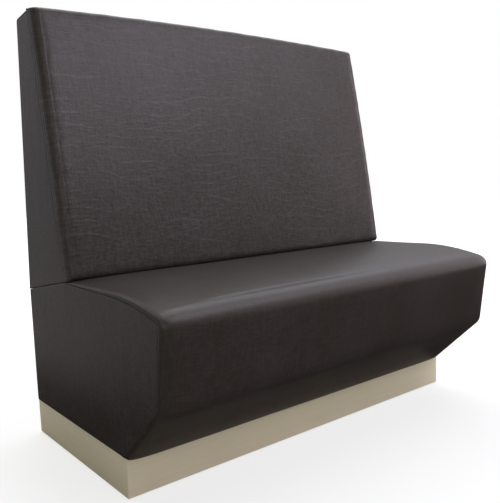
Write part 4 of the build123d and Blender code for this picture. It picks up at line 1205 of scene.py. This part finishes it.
class BOOTH_OT_stage(bpy.types.Operator):
    """Camera, floor, background and soft studio lights"""

    bl_idname = "booth.stage"
    bl_label = "Stage"

    def execute(self, context):
        """The camera stands off the bench's front left corner, between the height of the seat and
        that of the back's top, and looks a little down."""
        scene = context.scene
        sin, cos = math.sin, math.cos
        level = cos(CAMERA_PITCH)
        ahead = np.array([sin(CAMERA_AZIMUTH) * level, cos(CAMERA_AZIMUTH) * level, sin(CAMERA_PITCH)])
        right = np.array([cos(CAMERA_AZIMUTH), -sin(CAMERA_AZIMUTH), 0.0])
        up = np.cross(right, ahead)
        turn = np.array([[cos(CAMERA_ROLL), sin(CAMERA_ROLL)], [-sin(CAMERA_ROLL), cos(CAMERA_ROLL)]])
        right, up = turn @ np.stack([right, up])
        lens = tuned(bpy.data.cameras.new("camera"), sensor_width=36.0, lens=CAMERA_LENS)
        camera = link("camera", lens)
        camera.matrix_world = Matrix([*np.stack([right, up, -ahead, CAMERA_PLACE], axis=1), (0, 0, 0, 1)])
        scene.camera = camera

        mesh = bpy.data.meshes.new("floor")
        corners = [(x * FLOOR_REACH, y * FLOOR_REACH, 0) for x, y in ((-1, -1), (1, -1), (1, 1), (-1, 1))]
        mesh.from_pydata(corners, [], [(0, 1, 2, 3)])
        floor = link("floor", mesh)
        mesh.materials.append(bpy.data.materials.new("pale_floor"))
        tree = cleared(mesh.materials[0])
        node(tree, "ShaderNodeOutputMaterial", {"Surface": floor_look(tree)})

        scene.world = bpy.data.worlds.new("studio")
        tree = cleared(scene.world)
        soft = glow(tree, "ShaderNodeBackground", sky_light(tree), 1.0)
        white = glow(tree, "ShaderNodeBackground", WHITE, 1.0)
        node(tree, "ShaderNodeOutputWorld", {"Surface": mixed(tree, ray_is(tree, "Camera"), soft, white)})

        window = bpy.data.lights.new("window_light", "AREA")
        tuned(window, shape="RECTANGLE", size=2.6, size_y=1.2, energy=46, color=(0.86, 0.84, 0.96))
        place = Vector((1.1, -2.6, 3.0))
        turn = (Vector((0.0, 0.1, 0.8)) - place).to_track_quat("-Z", "Y")
        lamp = link("window_light", window)
        tuned(lamp, location=place, rotation_mode="QUATERNION", rotation_quaternion=turn)
        scene.view_settings.view_transform = "Standard"
        return {"FINISHED"}


STEPS = (
    "stage", "boards", "cloths", "foams", "side_foams",
    "seat_cover", "seat_sides", "back_pad", "back_covers",
)


class BOOTH_PT_panel(bpy.types.Panel):
    """Lists the bench's settings and its steps"""

    bl_idname = "BOOTH_PT_panel"
    bl_label = "Booth bench"
    bl_space_type = "VIEW_3D"
    bl_region_type = "UI"
    bl_category = "Booth bench"

    def draw(self, context):
        """One field for each setting, then one button for each step."""
        for group in (sizes(), look()):
            for name in group.__annotations__:
                self.layout.prop(group, name)
        for step in STEPS:
            self.layout.operator(f"booth.{step}")


CLASSES = (
    BoothSizes, BoothLook, BOOTH_OT_stage, BOOTH_OT_boards, BOOTH_OT_cloths, BOOTH_OT_foams,
    BOOTH_OT_side_foams, BOOTH_OT_seat_cover, BOOTH_OT_seat_sides, BOOTH_OT_back_pad,
    BOOTH_OT_back_covers, BOOTH_PT_panel,
)


def register():
    """Registers the classes and hangs their settings on the scene."""
    for item in CLASSES:
        bpy.utils.register_class(item)
    bpy.types.Scene.booth_sizes = bpy.props.PointerProperty(type=BoothSizes)
    bpy.types.Scene.booth_look = bpy.props.PointerProperty(type=BoothLook)


def unregister():
    """Takes the settings and classes away again."""
    del bpy.types.Scene.booth_look
    del bpy.types.Scene.booth_sizes
    for item in reversed(CLASSES):
        bpy.utils.unregister_class(item)


def main():
    """Runs every step in order."""
    register()
    for step in STEPS:
        getattr(bpy.ops.booth, step)()
    bpy.context.view_layer.update()


if __name__ == "__main__":
    main()
